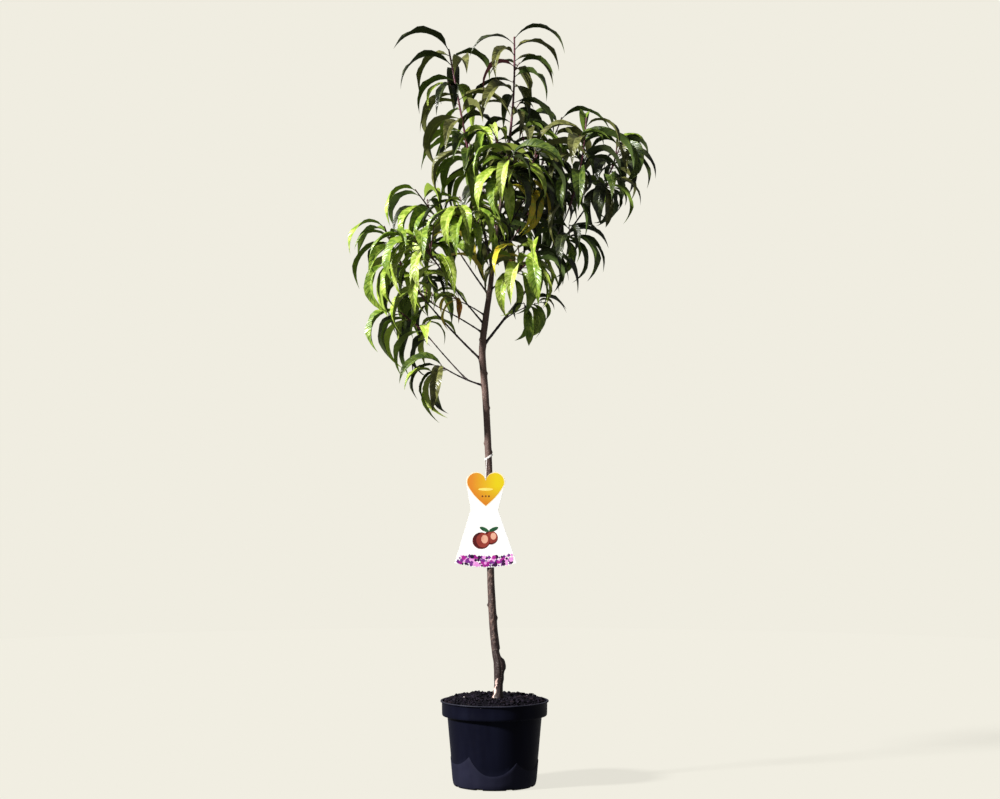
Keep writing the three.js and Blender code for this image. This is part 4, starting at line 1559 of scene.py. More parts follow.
@dataclass
class BoughWood:
    """All boughs, with swollen joints and a flared root at the wood that carries them."""

    crown: Crown
    sides: int = 14
    ring_gap: float = 2.2
    joint_gap: float = 21.0
    joint_spread: Pair = (0.75, 1.25)
    joint_swell: float = 0.42
    joint_length: float = 2.0
    flare: float = 0.5
    flare_length: float = 4.5
    uneven: float = 0.10

    def build(self) -> Object:
        """Returns the finished boughs, as one piece."""
        pile = MeshPile()
        for n, size in enumerate(BOUGH_SIZES):
            self._add_bough(pile, self.crown.limbs[size.name], n)
        nodes = [f"bough_{size.name}" for size in BOUGH_SIZES]
        return finished(pile.build("boughs", BOUGH_BARK.material()), "bough_bark", *nodes, angle=60)

    def _add_bough(self, pile: MeshPile, limb: Limb, number: int) -> None:
        """Adds one bough to the pile.

        Args:
            pile: Where it goes.
            limb: The bough.
            number: Its number, which sets its unevenness.
        """
        length = limb.line.length()
        shares = even_shares(max(int(length / self.ring_gap), 12))
        along = shares * length
        clear = np.maximum(along - self._parent_radius(limb), 0)
        radius = limb.radii(shares) * (limb.girth + self.flare * np.exp(-clear / self.flare_length))
        stream = Stream(71, number)
        place = stream.between((8, 16))
        while place < length - 3:
            radius += self.joint_swell * np.exp(-(((along - place) / self.joint_length) ** 2))
            place += self.joint_gap * stream.between(self.joint_spread)
        rough = [
            [noise.noise((cos(a), sin(a), d * 0.12 + number * 7)) for a in circle(self.sides)]
            for d in along
        ]
        radii = radius[:, None] * (1 + self.uneven * np.array(rough))
        pile.add_tube(limb.line, shares, radii, self.sides)

    @staticmethod
    def _parent_radius(limb: Limb) -> float:
        """Returns the radius of the wood that carries a bough, where it leaves it."""
        gaps = np.linalg.norm(limb.parent.line.points(60) - limb.line.point(0.0), axis=1)
        return limb.parent.radius(int(np.argmin(gaps)) / 60)


@dataclass
class GreenShoots:
    """The stems, twigs and spurs that carry the leaves, with a bud in each leaf's crook."""

    crown: Crown
    stem_sides: int = 8
    twig_sides: int = 6
    twig_rings: int = 8
    joint_swell: float = 0.28
    joint_length: float = 3.0
    blend: float = 22.0
    bud_rings: tuple[Pair, ...] = ((0.0, 0.5), (0.9, 0.95), (2.0, 0.75))
    bud_sides: int = 5
    bud_tip: float = 3.4

    def build(self) -> Object:
        """Returns the finished shoots, as one piece."""
        pile = MeshPile()
        for mass in self.crown.masses:
            self._add_stem(pile, mass)
            for shoot in mass.shoots:
                shares = even_shares(self.twig_rings)
                pile.add_tube(shoot.line, shares, shoot.radii(shares), self.twig_sides)
            for i, (leaf, _) in enumerate(mass.leaves):
                self._add_bud(pile, leaf, i)
        return finished(pile.build("green_shoots", SHOOT_BARK.material()), "leaves", angle=60)

    def _add_stem(self, pile: MeshPile, mass: Mass) -> None:
        """Adds a mass's stem, which grows out of its limb's tip with no step in its breadth.

        Args:
            pile: Where it goes.
            mass: The mass.
        """
        stem = mass.stem
        length = stem.line.length()
        shares = even_shares(max(int(length / 4), 10))
        radius = stem.radii(shares) * stem.girth
        if mass.size.at is None:
            step = stem.parent.radius(1.0) * stem.parent.girth - radius[0]
            radius += step * np.exp(-shares * length / self.blend)
        near = stem.line.points(40)
        for leaf, _ in mass.leaves:
            share = int(np.argmin(np.linalg.norm(near - leaf.root, axis=1))) / 40
            gap = (shares - share) * length / self.joint_length
            radius += self.joint_swell * np.exp(-(gap**2))
        pile.add_tube(stem.line, shares, radius, self.stem_sides)

    def _add_bud(self, pile: MeshPile, leaf: Leaf, number: int) -> None:
        """Adds the small pointed bud above a leaf's root.

        Args:
            pile: Where it goes.
            leaf: The leaf.
            number: Its number, which varies the bud's size.
        """
        size = 1.0 + 0.25 * sin(number * 2.3)
        out = leaf.heading * cos(leaf.rise) + UP * sin(leaf.rise)
        along = unit(out * 0.5 + UP * 0.85)
        first, second = cross_axes(along)
        start = leaf.root + out * 1.3 + UP * 0.7
        points = [
            start + along * a * size + (first * cos(t) + second * sin(t)) * r * size
            for a, r in self.bud_rings
            for t in circle(self.bud_sides)
        ]
        last = len(points) - self.bud_sides
        faces = [tuple(range(self.bud_sides - 1, -1, -1)), *ring_faces(len(self.bud_rings), self.bud_sides)]
        for k in range(self.bud_sides):
            faces.append((last + k, last + (k + 1) % self.bud_sides, len(points)))
        pile.add(np.array([*points, start + along * self.bud_tip * size]), faces)


# ---- foliage


@dataclass
class Foliage:
    """The leaves, one joined piece for each mass.

    A blade's ring has five points over its face and one under its midrib. waves is how many ripples
    its rim has, and folds how far it is folded up.
    """

    crown: Crown
    breadth: float = 0.95
    folds: Pair = (0.35, 0.85)
    wave: float = 0.2
    waves: Pair = (2.0, 3.6)
    lag: float = 1.9
    bulge: float = 0.07
    halfway: float = 0.52
    point: float = 0.34
    keel: Pair = (0.8, 0.3)
    ring: tuple[float, ...] = (0.0, 0.25, 0.5, 0.75, 1.0, 0.5)

    def build(self) -> list[Object]:
        """Returns the finished leaves, one piece for each mass."""
        materials = {finish.tint: (finish.upper(), finish.lower()) for finish in LEAF_FINISHES}
        faces, sides, places = self._skin()
        pieces = []
        for mass in self.crown.masses:
            tints = sorted({tint for _, tint in mass.leaves}, key=lambda tint: tint.value)
            pile = MeshPile()
            for i, (leaf, tint) in enumerate(mass.leaves):
                slots = [2 * tints.index(tint) + side for side in sides]
                pile.add(self._points(leaf, Stream(mass.seed, 7, i)), faces, slots)
                pile.places += places
            name = mass.size.name
            obj = pile.build(f"leaves_{name}", *(m for tint in tints for m in materials[tint]))
            pieces.append(finished(obj, "leaves", f"foliage_{name}", angle=55))
        return pieces

    def _points(self, leaf: Leaf, stream: Stream) -> Array:
        """Points of one leaf: a folded, waved face over a keeled underside.

        Args:
            leaf: The leaf.
            stream: The leaf's own numbers.

        Returns:
            The points, ring by ring from the root, and the tip.
        """
        share = even_shares(Blades.steps)
        centre, across, face = leaf.frames()
        half = leaf.half_width(share) * (1 - self.point * np.clip((share - 0.7) / 0.3, 0, 1)) * self.breadth
        count, phase = stream.between(self.waves), 2 * pi * stream.next()
        turns = 2 * pi * count * share + phase
        left, right = (self.wave * half * np.sin(pi * share) * np.sin(turns + t) for t in (0, self.lag))
        lift = stream.between(self.folds) * half
        inner, raised = self.halfway * half, self.halfway * lift + self.bulge * half
        columns = (
            (half, lift + left),
            (inner, raised + 0.4 * left),
            (0 * half, 0 * half + 0.1),
            (-inner, raised + 0.4 * right),
            (-half, lift + right),
            (0 * half, -(self.keel[0] + (self.keel[1] - self.keel[0]) * share)),
        )
        rows = [centre + across * aside[:, None] + face * out[:, None] for aside, out in columns]
        return np.vstack([np.stack(rows, axis=1)[:-1].reshape(-1, 3), centre[-1:]])

    def _skin(self) -> tuple[list[Face], list[int], list[Pair]]:
        """The skin that every leaf shares.

        Returns:
            Its faces, the side that each is on (1 below), and where its corners lie on the veins.
        """
        steps, count = Blades.steps, len(self.ring)
        faces, sides, places = [tuple(range(count))], [1], [(0.5, 0.0)] * count
        for i in range(steps):
            for k in range(count):
                a, b, k2 = i * count, (i + 1) * count, (k + 1) % count
                u1, u2, v1, v2 = self.ring[k], self.ring[k2], i / steps, (i + 1) / steps
                if i < steps - 1:
                    faces.append((a + k, b + k, b + k2, a + k2))
                    places += [(u1, v1), (u1, v2), (u2, v2), (u2, v1)]
                else:
                    faces.append((a + k, b, a + k2))
                    places += [(u1, v1), (0.5, v2), (u2, v1)]
                sides.append(int(k > 3))
        return faces, sides, places


# ---- pot


@dataclass
class NurseryPot:
    """The round pot: rolled lip, plain band, tapering body and a raised scalloped skirt.

    peaks gives the turn, the height and the dip after it of each peak of the skirt's edge.
    """

    segments: int = 144
    base_height: float = 6.0
    base_radius: float = 84.0
    band_bottom: float = 142.0
    body_top_radius: float = 96.0
    wall: float = 1.7
    skirt_line: float = 52.0
    skirt_step: float = 1.0
    drains: int = 8
    drain_centre: float = 80.0
    drain_size: Triple = (20.0, 16.0, 6.0)
    peaks: tuple[Triple, ...] = (
        (-34.6, 68, 30),
        (30, 56, 37),
        (84, 55, 41),
        (145, 63, 33),
        (205, 57, 46),
        (268, 59, 49),
    )

    def body_radius(self, z: float) -> float:
        """Returns the body's outer radius at a height."""
        share = (z - self.base_height) / (self.band_bottom - self.base_height)
        return self.base_radius + (self.body_top_radius - self.base_radius) * share

    def skirt_top(self, x: float, y: float) -> float:
        """Height of the skirt's scalloped edge: sharp peaks with round dips between them.

        Args:
            x: How far to the right.
            y: How far back.

        Returns:
            The height on that side of the pot.
        """
        first = self.peaks[0]
        turn = (degrees(atan2(x, -y)) - first[0]) % 360 + first[0]
        ends = (*self.peaks[1:], (first[0] + 360, first[1], 0))
        for (start, high, low), (end, next_high, _) in zip(self.peaks, ends):
            if start <= turn <= end:
                middle = (start + end) / 2
                top = high if turn < middle else next_high
                return low + (top - low) * (abs(turn - middle) / (end - middle)) ** 2.3
        return self.skirt_line

    def profile(self) -> list[Pair]:
        """Returns radius and height from the underside's middle, over the lip, to the floor's."""
        edge, step, body = self.skirt_line, self.skirt_step, self.body_radius
        outer = [(1, 0), (40, 0), (78, 0), (80.4, 0.5), (82.2, 1.7), (83.4, 3.6), (84.1, 6)]
        outer += [(body(z) + step * min((z - 6) / 6, 1), z) for z in (10, 14, 22, 32, 42)]
        brink = ((-0.9, 1), (-0.25, 0.8), (0.25, 0.25))
        outer += [(body(edge + dz) + step * out, edge + dz) for dz, out in brink]
        outer += [(body(z), z) for z in (edge + 0.7, 62, 76, 92, 108, 122, 134, 139.5)]
        outer += [(96.2, 141.4), (97.2, 142), (103.8, 142.2), (105.6, 142.8), (106.4, 144)]
        outer += [(106.7, 147), (106.9, 156), (107.1, 168.6), (107.6, 169.8), (109.2, 170.1)]
        outer += [(109.9, 170.8), (110, 171.8), (109.6, 172.7), (108.8, 173)]
        inner = [(106.4, 173), (105.5, 172.4), (105.2, 170.5), (104.2, 147), (103.2, 144.8)]
        inner += [(95.2, 143.3), (94.3, 141.5)]
        inner += [(body(z) - self.wall, z) for z in (110, 60, 12)]
        return outer + inner + [(81.5, 5), (78, 3.2), (40, 3), (1, 3)]

    def build(self) -> Object:
        """Returns the finished pot."""
        obj = self._raised()
        self._shape_skirt(obj)
        self._cut_drains(obj)
        obj.data.materials.clear()
        for finish in (
            PlasticFinish("pot_plastic", (0.0032, 0.0035, 0.0090), (0.0052, 0.0060, 0.0145), 0.3, 0.42),
            PlasticFinish("pot_skirt", (0.0104, 0.0108, 0.0228), (0.0146, 0.0152, 0.0300), 0.42, 0.55),
            # Paler colour on the lip's top and the band's ledge: painted highlight.
            PlasticFinish("pot_worn_edge", (0.020, 0.021, 0.032), (0.040, 0.040, 0.056), 0.35, 0.5),
        ):
            obj.data.materials.append(finish.material())
        for face in obj.data.polygons:
            x, y, z = (c / MM for c in face.center)
            radius = hypot(x, y)
            on_skirt = z < self.skirt_top(x, y) and radius > self.body_radius(z) - 0.2
            # Faces on the lip's top and the band's ledge take the painted highlight.
            on_painted_highlight = z > 171.4 and radius > 107.5 or 141.2 < z < 142.9 and 97 < radius < 106.6
            face.material_index = 2 if on_painted_highlight else int(on_skirt and face.normal.z > -0.5)
        return finished(obj, "pot_plastic", "pot", angle=35)

    def _raised(self) -> Object:
        """Returns the plain round pot, raised ring by ring from a circle on the ground."""
        bpy.ops.object.select_all(action="DESELECT")
        profile = self.profile()
        radius, height = profile[0]
        bpy.ops.mesh.primitive_circle_add(vertices=self.segments, radius=radius * MM, location=(0, 0, 0))
        obj = bpy.context.object
        obj.name = obj.data.name = "pot_shell"
        bpy.ops.object.mode_set(mode="EDIT")
        bpy.ops.mesh.select_mode(type="EDGE")
        bpy.ops.mesh.select_all(action="SELECT")
        for next_radius, next_height in profile[1:]:
            rise = (0, 0, (next_height - height) * MM)
            bpy.ops.mesh.extrude_region_move(TRANSFORM_OT_translate={"value": rise})
            grow = next_radius / radius
            bpy.ops.transform.resize(value=(grow, grow, 1), center_override=(0, 0, next_height * MM))
            radius, height = next_radius, next_height
        bpy.ops.mesh.edge_face_add()
        bpy.ops.object.mode_set(mode="OBJECT")
        for vertex in obj.data.vertices:
            vertex.select = vertex.index < self.segments
        for edge in obj.data.edges:
            edge.select = all(i < self.segments for i in edge.vertices)
        for face in obj.data.polygons:
            face.select = False
        bpy.ops.object.mode_set(mode="EDIT")
        bpy.ops.mesh.edge_face_add()
        bpy.ops.mesh.select_all(action="SELECT")
        bpy.ops.mesh.normals_make_consistent(inside=False)
        bpy.ops.object.mode_set(mode="OBJECT")
        return obj

    def _shape_skirt(self, obj: Object) -> None:
        """Draws the skirt's level edge out into its scallops, and the rings about it with it.

        Args:
            obj: The pot.
        """
        low, high, edge = self.base_height, self.band_bottom - 3, self.skirt_line
        for vertex in obj.data.vertices:
            x, y, z = (c / MM for c in vertex.co)
            radius = hypot(x, y)
            if not low < z < high or radius < self.body_radius(z) - 0.5:
                continue
            near = min(max((z - low) / (edge - low), 0), 1) if z <= edge + 1 else (high - z) / (high - edge)
            new_z = z + (self.skirt_top(x, y) - edge) * near
            grow = (self.body_radius(new_z) + radius - self.body_radius(z)) / radius
            vertex.co = (x * grow * MM, y * grow * MM, new_z * MM)

    def _cut_drains(self, obj: Object) -> None:
        """Cuts the drain slots in the foot.

        Args:
            obj: The pot.
        """
        bpy.ops.object.select_all(action="DESELECT")
        cutters = []
        for i in range(self.drains):
            angle = 2 * pi * (i + 0.5) / self.drains
            place = (cos(angle) * self.drain_centre, sin(angle) * self.drain_centre, 2.0)
            bpy.ops.mesh.primitive_cube_add(size=1, location=[c * MM for c in place], rotation=(0, 0, angle))
            bpy.context.object.scale = [size * MM for size in self.drain_size]
            cutters.append(bpy.context.object)
        for cutter in cutters:
            cutter.select_set(True)
        bpy.ops.object.join()
        cutter = bpy.context.object
        bpy.ops.object.transform_apply(location=True, rotation=True, scale=True)
        only(obj)
        cut = obj.modifiers.new("drains", "BOOLEAN")
        cut.operation, cut.solver, cut.object = "DIFFERENCE", "MANIFOLD", cutter
        bpy.ops.object.modifier_apply(modifier=cut.name)
        bpy.data.objects.remove(cutter)


# ---- soil


@dataclass(frozen=True)
class Bit:
    """A kind of bit in the soil: how many, the least size and its range, and the spread by axis."""

    count: int
    least: float
    more: float
    spread: tuple[Pair, ...]


@dataclass
class PottingSoil:
    """The lumpy mound of potting mix, with crumbs, bark chips and a few white grains on it.

    stops and tops are the smooth mound's radius and height from its middle out. One larger grain
    lies at the front left.
    """

    stops: tuple[float, ...] = (0, 24, 56, 80, 105)
    tops: tuple[float, ...] = (174, 174, 179, 178, 169.5)
    lumps: tuple[Triple, ...] = ((0.045, 1, 4.2), (0.14, 5, 2.6), (0.42, 9, 1.2))
    below: tuple[Pair, ...] = ((102.5, 147), (93.6, 142), (80, 8), (70, 3.5))
    sides: int = 128
    rings: int = 46
    strewn: float = 104.0
    bare: float = 17.0
    bits: tuple[Bit, ...] = (
        Bit(1500, 1.0, 3.0, ((0.7, 1.4), (0.7, 1.2), (0.6, 1.0))),
        Bit(130, 1.8, 3.4, ((1.4, 2.2), (0.6, 0.9), (0.25, 0.4))),
        Bit(9, 1.3, 1.1, ((1.0, 1.0), (0.8, 1.1), (0.7, 0.9))),
    )
    near_grain: Pair = (68.0, radians(-155))
    near_size: float = 3.0
    near_lift: float = 1.6
    uneven: float = 0.22

    def height(self, x: float, y: float) -> float:
        """Height of the soil's face.

        Args:
            x: How far to the right.
            y: How far back.

        Returns:
            The height, lumps included.
        """
        radius = hypot(x, y)
        lumps = sum(noise.noise((x * f, y * f, z)) * tall for f, z, tall in self.lumps)
        calm = min(max((radius - 12) / 20, 0.25), 1)
        return float(np.interp(radius, self.stops, self.tops)) + lumps * calm

    def build(self) -> list[Object]:
        """Returns the finished soil and the bits that lie on it."""
        mix = earth("potting_mix", (0.0018, 0.0016, 0.0038), (0.0050, 0.0042, 0.0080), 160.0)
        bits = (
            earth("crumb", (0.0027, 0.0023, 0.0050), (0.0125, 0.0092, 0.0175)),
            earth("bark_chip", (0.0062, 0.0040, 0.0060), (0.023, 0.014, 0.020)),
            earth("white_grain", (0.60, 0.56, 0.54), (0.34, 0.31, 0.30), 200.0),
        )
        ground = finished(self._ground().build("soil_mound", mix), "soil", "potting_soil", angle=70)
        return [ground, finished(self._bits().build("soil_bits", *bits), "soil")]

    def _ground(self) -> MeshPile:
        """Returns the mound, closed below along the inside of the pot."""
        turns = circle(self.sides)
        points = [(0.0, 0.0, self.height(0, 0))]
        for radius in self.stops[-1] * even_shares(self.rings)[1:] ** 0.85:
            sites = [(radius * cos(a), radius * sin(a)) for a in turns]
            points += [(x, y, self.height(x, y)) for x, y in sites]
        for radius, z in self.below:
            points += [(radius * cos(a), radius * sin(a), z) for a in turns]
        count = self.sides
        faces = [(0, 1 + k, 1 + (k + 1) % count) for k in range(count)]
        faces += ring_faces(self.rings + len(self.below), count, 1, turned=True)
        faces.append(tuple(range(len(points) - 1, len(points) - 1 - count, -1)))
        pile = MeshPile()
        pile.add(np.array(points), faces)
        return pile

    def _bits(self) -> MeshPile:
        """Returns the crumbs, chips and grains, each an uneven ball of its own, strewn on the mound."""
        bpy.ops.object.select_all(action="DESELECT")
        bpy.ops.mesh.primitive_ico_sphere_add(subdivisions=1, radius=1)
        model = bpy.context.object
        ball = np.array([tuple(v.co) for v in model.data.vertices])
        sides = [tuple(p.vertices) for p in model.data.polygons]
        bpy.data.objects.remove(model)
        rim = self.stops[-1]
        pile, stream = MeshPile(), Stream(41, 2)
        kinds = [kind for kind, bit in enumerate(self.bits) for _ in range(bit.count)]
        for i, kind in enumerate(kinds):
            near = i == kinds.index(2)
            radius, angle = self.strewn * sqrt(stream.next()), 2 * pi * stream.next()
            radius += self.bare if radius < self.bare else 0
            if near:
                radius, angle = self.near_grain
            bit, big = self.bits[kind], stream.next() ** 2.2
            draws = [[stream.between(span) for span in b.spread if span[0] < span[1]] for b in self.bits]
            spread = [1.0] * (3 - len(draws[kind])) + draws[kind]
            turn, lean = 2 * pi * stream.next(), stream.between((-0.5, 0.5))
            size = self.near_size if near else bit.least + bit.more * big
            body = ball * np.array(spread) * size
            body = body * (1 + self.uneven * np.sin(ball @ np.array([5.1, 7.3, 3.7]) + i))[:, None]
            body = self._turned(body, turn, lean)
            x, y = radius * cos(angle), radius * sin(angle)
            lift = self.near_lift if near else min(1.0, (rim + 0.5 - radius) / 6)
            place = vec(x, y, self.height(x, y) + 0.5 * size * lift)
            reach = np.hypot(x + body[:, 0], y + body[:, 1]).max()
            if reach > rim:
                place[:2] *= (rim - (reach - radius)) / radius
            pile.add(body + place, sides, kind)
        return pile

    @staticmethod
    def _turned(body: Array, turn: float, lean: float) -> Array:
        """Returns a body leaned over and then turned about the upright."""
        x, y, z = body.T
        y, z = y * cos(lean) - z * sin(lean), y * sin(lean) + z * cos(lean)
        x, y = x * cos(turn) - y * sin(turn), x * sin(turn) + y * cos(turn)
        return np.stack([x, y, z], 1)


# ---- tag and strap


@dataclass
class HangTag:
    """The card tag: a heart over a flared skirt, with a plain fruit motif and a dotted hem.

    A printed shape is sunk a little into the card and stands out of it by its own small step.
    """

    centre_x: float = -18.0
    back: float = -8.7
    thickness: float = 1.0
    top: float = 636.0
    heart_width: float = 79.0
    waist_height: float = 560.0
    waist_width: float = 55.0
    waist_shift: float = -2.5
    hem_height: float = 451.0
    hem_width: float = 126.0
    hem_drop: float = 8.5
    heart_size: Pair = (37.4, 67.0)
    heart_tip: float = 567.5
    heart_grow: float = 1.05
    motif_height: float = 500.0
    marks: int = 84
    mark_size: Pair = (2.0, 4.8)
    mark_rows: int = 4
    row_gap: float = 5.2
    side_slope: float = 0.32
    sunk: float = 0.1
    edge: float = 0.2

    @property
    def front(self) -> float:
        """Returns the y of the card's face."""
        return self.back - self.thickness

    def outline(self) -> list[Pair]:
        """Returns the card's outline, against the clock seen from the front."""
        lobe, wide = self.heart_width / 4, self.hem_width / 2
        shoulder = self.top - lobe
        points = [(0.0, shoulder + 1.5)]
        points += self._lobe(-lobe, shoulder, lobe, 0.05)
        points.append((self.waist_shift - self.waist_width / 2, self.waist_height))
        points += [self.hem_point(-wide + self.hem_width * share) for share in even_shares(20)]
        points.append((self.waist_shift + self.waist_width / 2, self.waist_height))
        points += self._lobe(lobe, shoulder, lobe, -0.1)
        return [(x + self.centre_x, z) for x, z in points]

    @staticmethod
    def _lobe(x: float, z: float, radius: float, start: float) -> list[Pair]:
        """Returns one round lobe of the heart, from a start in half turns."""
        turns = pi * (start + 1.05 * even_shares(18))
        return [(x + radius * cos(a), z + radius * sin(a)) for a in turns]

    def hem_point(self, x: float) -> Pair:
        """Returns the point of the curved hem at a distance from the tag's middle."""
        share = x / (self.hem_width / 2)
        return x, self.hem_height - self.hem_drop * (1 - share * share)

    def heart(self, grow: float = 1.0) -> list[Pair]:
        """The printed heart's outline, against the clock seen from the front.

        Args:
            grow: Its size against the plain heart's.

        Returns:
            Its points.
        """
        half, tall = self.heart_size
        lobe, middle = half / 2, tall / 2
        arc = pi * (0.06 + 1.04 * even_shares(14))
        curve = [(lobe - lobe * cos(a), tall - lobe + lobe * sin(a)) for a in arc]
        x0, z0 = curve[-1]
        for share in even_shares(12)[1:]:
            bow = 0.12 * sin(pi * share)
            curve.append((x0 * (1 - share + bow), z0 * (1 - share) + 1.5 * bow))
        points = [(-x, z) for x, z in curve] + curve[-2::-1]
        lift = middle + self.heart_tip
        return [(x * grow + self.centre_x, (z - middle) * grow + lift) for x, z in points]

    def build(self) -> list[Object]:
        """Returns the finished card and what is printed on it."""
        card = MeshPile()
        card.add_plate(self.outline(), self.back, self.front)
        board = PatchFinish("tag_card", (0.95, 0.945, 0.94), (0.90, 0.895, 0.89))
        base = card.build("tag_card", board.material())
        bevel = base.modifiers.new("edge", "BEVEL")
        bevel.width, bevel.segments = self.edge * MM, 1
        only(base)
        bpy.ops.object.modifier_apply(modifier=bevel.name)
        finished(base, "tag_card", "hang_tag", angle=30)
        printed = (self._heart(), self._motif(), self._hem())
        return [base, *(finished(piece, "tag_card") for piece in printed)]

    def _print(self, pile: MeshPile, outline: Sequence[Pair], step: float, slot: int) -> None:
        """Adds a printed shape that stands out of the card by a step."""
        pile.add_plate(outline, self.front + self.sunk, self.front - step, slot)

    def _heart(self) -> Object:
        """Returns the heart, with a paler margin round it."""
        pile = MeshPile()
        self._print(pile, self.heart(), 0.12, 0)
        self._print(pile, self.heart(self.heart_grow), 0.06, 1)
        colours = ((0.72, 0.245, 0.020), (0.63, 0.115, 0.014), (0.76, 0.59, 0.008))
        heart = HeartFinish("tag_heart", *colours, self.centre_x, 603, 38)
        margin = PatchFinish("heart_margin", (0.93, 0.80, 0.52), (0.93, 0.84, 0.62))
        return pile.build("tag_heart", heart.material(), margin.material())

    def _oval(self, x: float, z: float, wide: float, tall: float, turn: float = 0.0) -> list[Pair]:
        """Returns an oval outline, against the clock seen from the front."""
        c, s = cos(turn), sin(turn)
        rim = [(wide * cos(a), tall * sin(a)) for a in circle(20)]
        return [(self.centre_x + x + px * c - pz * s, z + px * s + pz * c) for px, pz in rim]

    def _motif(self) -> Object:
        """Returns the two plain round fruits with two leaves, and three dots and a bar on the heart."""
        pile, z = MeshPile(), self.motif_height
        for x, dz, r, step in ((10, 3, 14, 0.10), (-9, -3, 17, 0.15)):
            self._print(pile, self._oval(x, z + dz, r * 1.06, r), step, 0)
            self._print(pile, self._oval(x + 0.2 * r, z + dz + 1, r * 0.8, r * 0.86), step + 0.01, 1)
            self._print(pile, self._oval(x + 0.4 * r, z + dz + 3, r * 0.4, r * 0.5), step + 0.02, 2)
        for x, turn in ((-3, 2.7), (16, 0.4)):
            self._print(pile, self._oval(x, z + 20, 10, 3.8, turn), 0.19, 3)
        for x in (-6.5, 0, 6.5):
            self._print(pile, self._oval(x, 587, 1.8, 1.8), 0.2, 4)
        self._print(pile, self._oval(0, 601, 15, 2.8), 0.2, 5)
        colours = (
            ("fruit_shade", (0.10, 0.008, 0.008), (0.05, 0.006, 0.008)),
            ("fruit_side", (0.30, 0.045, 0.030), (0.19, 0.02, 0.018)),
            ("fruit_light", (0.78, 0.42, 0.30), (0.66, 0.28, 0.19)),
            ("fruit_leaf", (0.015, 0.07, 0.03), (0.02, 0.11, 0.04)),
            ("dot", (0.14, 0.045, 0.015), (0.10, 0.03, 0.01)),
            ("bar", (0.98, 0.80, 0.22), (0.95, 0.72, 0.16)),
        )
        return pile.build("tag_motif", *prints(*colours))

    def _hem(self) -> Object:
        """Returns the small diamonds and dots strewn along the hem."""
        pile, stream = MeshPile(), Stream(13, 8)
        for i in range(self.marks):
            size = stream.between(self.mark_size)
            rise = 0.8 + size + self.row_gap * (i % self.mark_rows)
            half = self.hem_width / 2 - self.side_slope * rise - size - 0.3
            x = (2 * (i + 0.5) / self.marks - 1) * half
            outline = self._oval(x, self.hem_point(x)[1] + rise, size, size)
            kind = int(stream.next() * 4)
            corners = 5 if stream.next() < 0.5 else 1
            self._print(pile, outline[::corners], 0.1 + 0.01 * (i % 7), kind)
        colours = (
            ("magenta", (0.42, 0.02, 0.30), (0.30, 0.01, 0.24)),
            ("pink", (0.86, 0.36, 0.78), (0.74, 0.24, 0.66)),
            ("plum", (0.045, 0.006, 0.055), (0.02, 0.004, 0.03)),
            ("violet", (0.20, 0.03, 0.26), (0.13, 0.02, 0.2)),
        )
        return pile.build("tag_hem", *prints(*colours))


@dataclass
class TagStrap:
    """The white strap: a flat band tilted round the trunk and a tail down to the tag's notch."""

    crown: Crown
    height: float = 666.0
    gap: float = 0.6
    width: float = 3.6
    thickness: float = 0.8
    bend: float = 0.35
    tilt: float = radians(34.0)
    segments: int = 64
    tail_width: float = 1.2
    tail_shift: float = -3.5
    tail_length: float = 53.0
    tail_lean: float = radians(3.0)
    tail_steps: int = 8
    tail_section: tuple[Triple, ...] = (
        (-1, -0.6, 0), (-0.8, -1, 0), (0.8, -1, 0), (1, -0.6, 0),
        (1, 0.6, 0), (0.8, 1, 0), (-0.8, 1, 0), (-1, 0.6, 0),
    )

    def build(self) -> Object:
        """Returns the finished strap."""
        share = self.crown.trunk.line.share_at_height(self.height)
        centre = self.crown.trunk.line.point(share)
        pile = MeshPile()
        self._add_band(pile, centre, self.crown.trunk.radius(share) + self.gap)
        self._add_tail(pile, centre)
        white = PatchFinish("tag_strap", (0.94, 0.935, 0.93), (0.88, 0.87, 0.86))
        return finished(pile.build("tag_strap_loop", white.material()), "tag_strap", "tag_strap", angle=40)

    def _add_band(self, pile: MeshPile, centre: Array, inner: float) -> None:
        """Adds the band, an oval ring with rounded edges, to the pile.

        Args:
            pile: Where it goes.
            centre: Its middle.
            inner: Its inner radius.
        """
        outer, half, bend = inner + self.thickness, self.width / 2, self.bend
        lower = [(inner, bend - half), (inner + bend, -half), (outer - bend, -half), (outer, bend - half)]
        section = lower + [(radius, -z) for radius, z in lower[::-1]]
        c, s = cos(self.tilt), sin(self.tilt)
        points = []
        for angle in circle(self.segments):
            for radius, z in section:
                x, y = radius * cos(angle) / c, radius * sin(angle)
                points.append(centre + vec(x * c - z * s, y, x * s + z * c))
        faces = ring_faces(self.segments, len(section), closed=True, turned=True)
        pile.add(np.array(points), faces)

    def _add_tail(self, pile: MeshPile, centre: Array) -> None:
        """Adds the tail to the pile.

        Args:
            pile: Where it goes.
            centre: The middle of the band.
        """
        start = centre + vec(self.tail_shift, 0, 0)
        start[1] = HangTag.back + CLEARANCE + self.thickness / 2
        way = vec(-sin(self.tail_lean), 0, -cos(self.tail_lean))
        spine = start + way * self.tail_length * even_shares(self.tail_steps)[:, None]
        rim = vec(*self.tail_section) * (self.tail_width, self.thickness, 0) / 2
        pile.add_rings(spine[:, None] + rim, turned=True)


# ---- studio


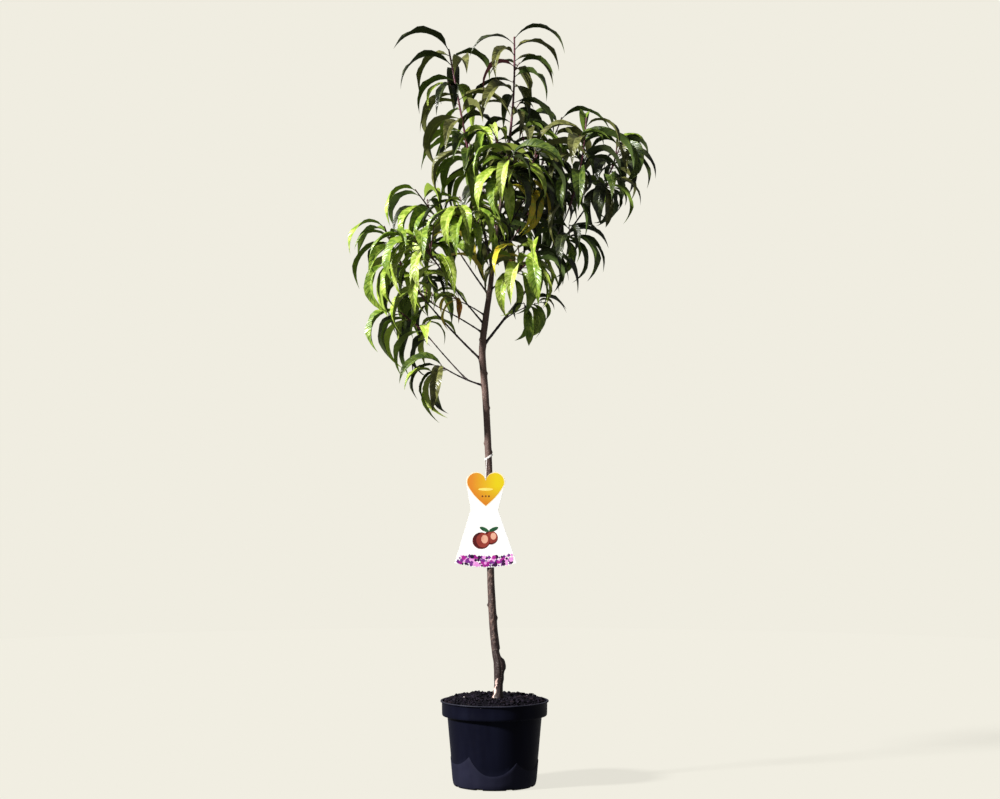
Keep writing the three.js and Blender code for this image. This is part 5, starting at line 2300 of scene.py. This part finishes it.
@dataclass
class Studio:
    """Pale floor, soft light from the upper left and the camera."""

    sky: Colour = (0.871, 0.847, 0.753)
    paint: Colour = (0.080, 0.079, 0.073)
    glow: float = 0.865
    fill: float = 0.21
    fill_colour: Colour = (1.0, 0.99, 0.97)
    sun: float = 8.0
    sun_spread: float = radians(7.0)
    sun_way: Triple = (0.80, 0.42, -0.58)
    sun_colour: Colour = (1.0, 0.98, 0.94)
    lens: float = 90.0
    camera_place: Triple = (0.011, -5.075, 0.783)

    def build(self) -> None:
        """Sets up the floor, the light and the camera."""
        self._floor()
        self._world()
        key = bpy.data.lights.new("key", "SUN")
        key.energy, key.angle, key.color = self.sun, self.sun_spread, self.sun_colour
        linked("key", key).rotation_euler = Vector(self.sun_way).to_track_quat("-Z", "Y").to_euler()
        lens = bpy.data.cameras.new("camera")
        lens.lens, lens.sensor_width = self.lens, 36
        camera = linked("camera", lens)
        camera.location, camera.rotation_euler = self.camera_place, (radians(90), 0, 0)
        bpy.context.scene.camera = camera
        view = bpy.context.scene.view_settings
        view.view_transform, view.look = "Standard", "None"

    def _floor(self) -> None:
        """Lays the floor, which glows as the backdrop does and throws no light on the tree."""
        bpy.ops.object.select_all(action="DESELECT")
        bpy.ops.mesh.primitive_circle_add(
            vertices=96, radius=3.5, fill_type="NGON", location=(0, 0, -0.0002)
        )
        floor = bpy.context.object
        floor.name = "floor"
        coat = Surface("floor_paint")
        values = {"Base Color": self.paint, "Emission Color": self.sky, "Emission Strength": self.glow}
        for name, value in {**values, "Roughness": 0.9, "Specular IOR Level": 0.0}.items():
            coat.feed(coat.shader.inputs[name], value)
        floor.visible_diffuse = floor.visible_glossy = False
        floor.data.materials.append(coat.material)

    def _world(self) -> None:
        """Sets the pale backdrop and the soft light all round."""
        world = bpy.data.worlds.new("studio")
        bpy.context.scene.world = world
        world.use_nodes = True
        world.node_tree.nodes.clear()
        graph = Graph(world.node_tree)
        light = graph.node("Background", {"Color": self.fill_colour, "Strength": self.fill})
        seen = graph.node("Background", {"Color": self.sky})
        direct = graph.node("LightPath").outputs["Is Camera Ray"]
        mix = graph.node("MixShader", {0: direct, 1: light.outputs[0], 2: seen.outputs[0]})
        graph.node("OutputWorld", {0: mix.outputs[0]})


# ---- assembly


def main() -> None:
    """Loads the frame, builds every piece in its place and sets up the studio."""
    logging.basicConfig(level=logging.INFO, format="%(name)s: %(message)s")
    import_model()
    crown = Crown()
    leaves = sum(len(mass.leaves) for mass in crown.masses)
    LOG.info("crown: %d boughs, %d masses, %d leaves", len(BOUGH_SIZES), len(crown.masses), leaves)
    pieces = [
        NurseryPot().build(),
        *PottingSoil().build(),
        TrunkWood(crown).build(),
        BoughWood(crown).build(),
        GreenShoots(crown).build(),
        *Foliage(crown).build(),
        *HangTag().build(),
        TagStrap(crown).build(),
    ]
    for piece in pieces:
        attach(piece, "root")
        LOG.info("%s: %d faces", piece.name, len(piece.data.polygons))
    Studio().build()


if __name__ == "__main__":
    main()
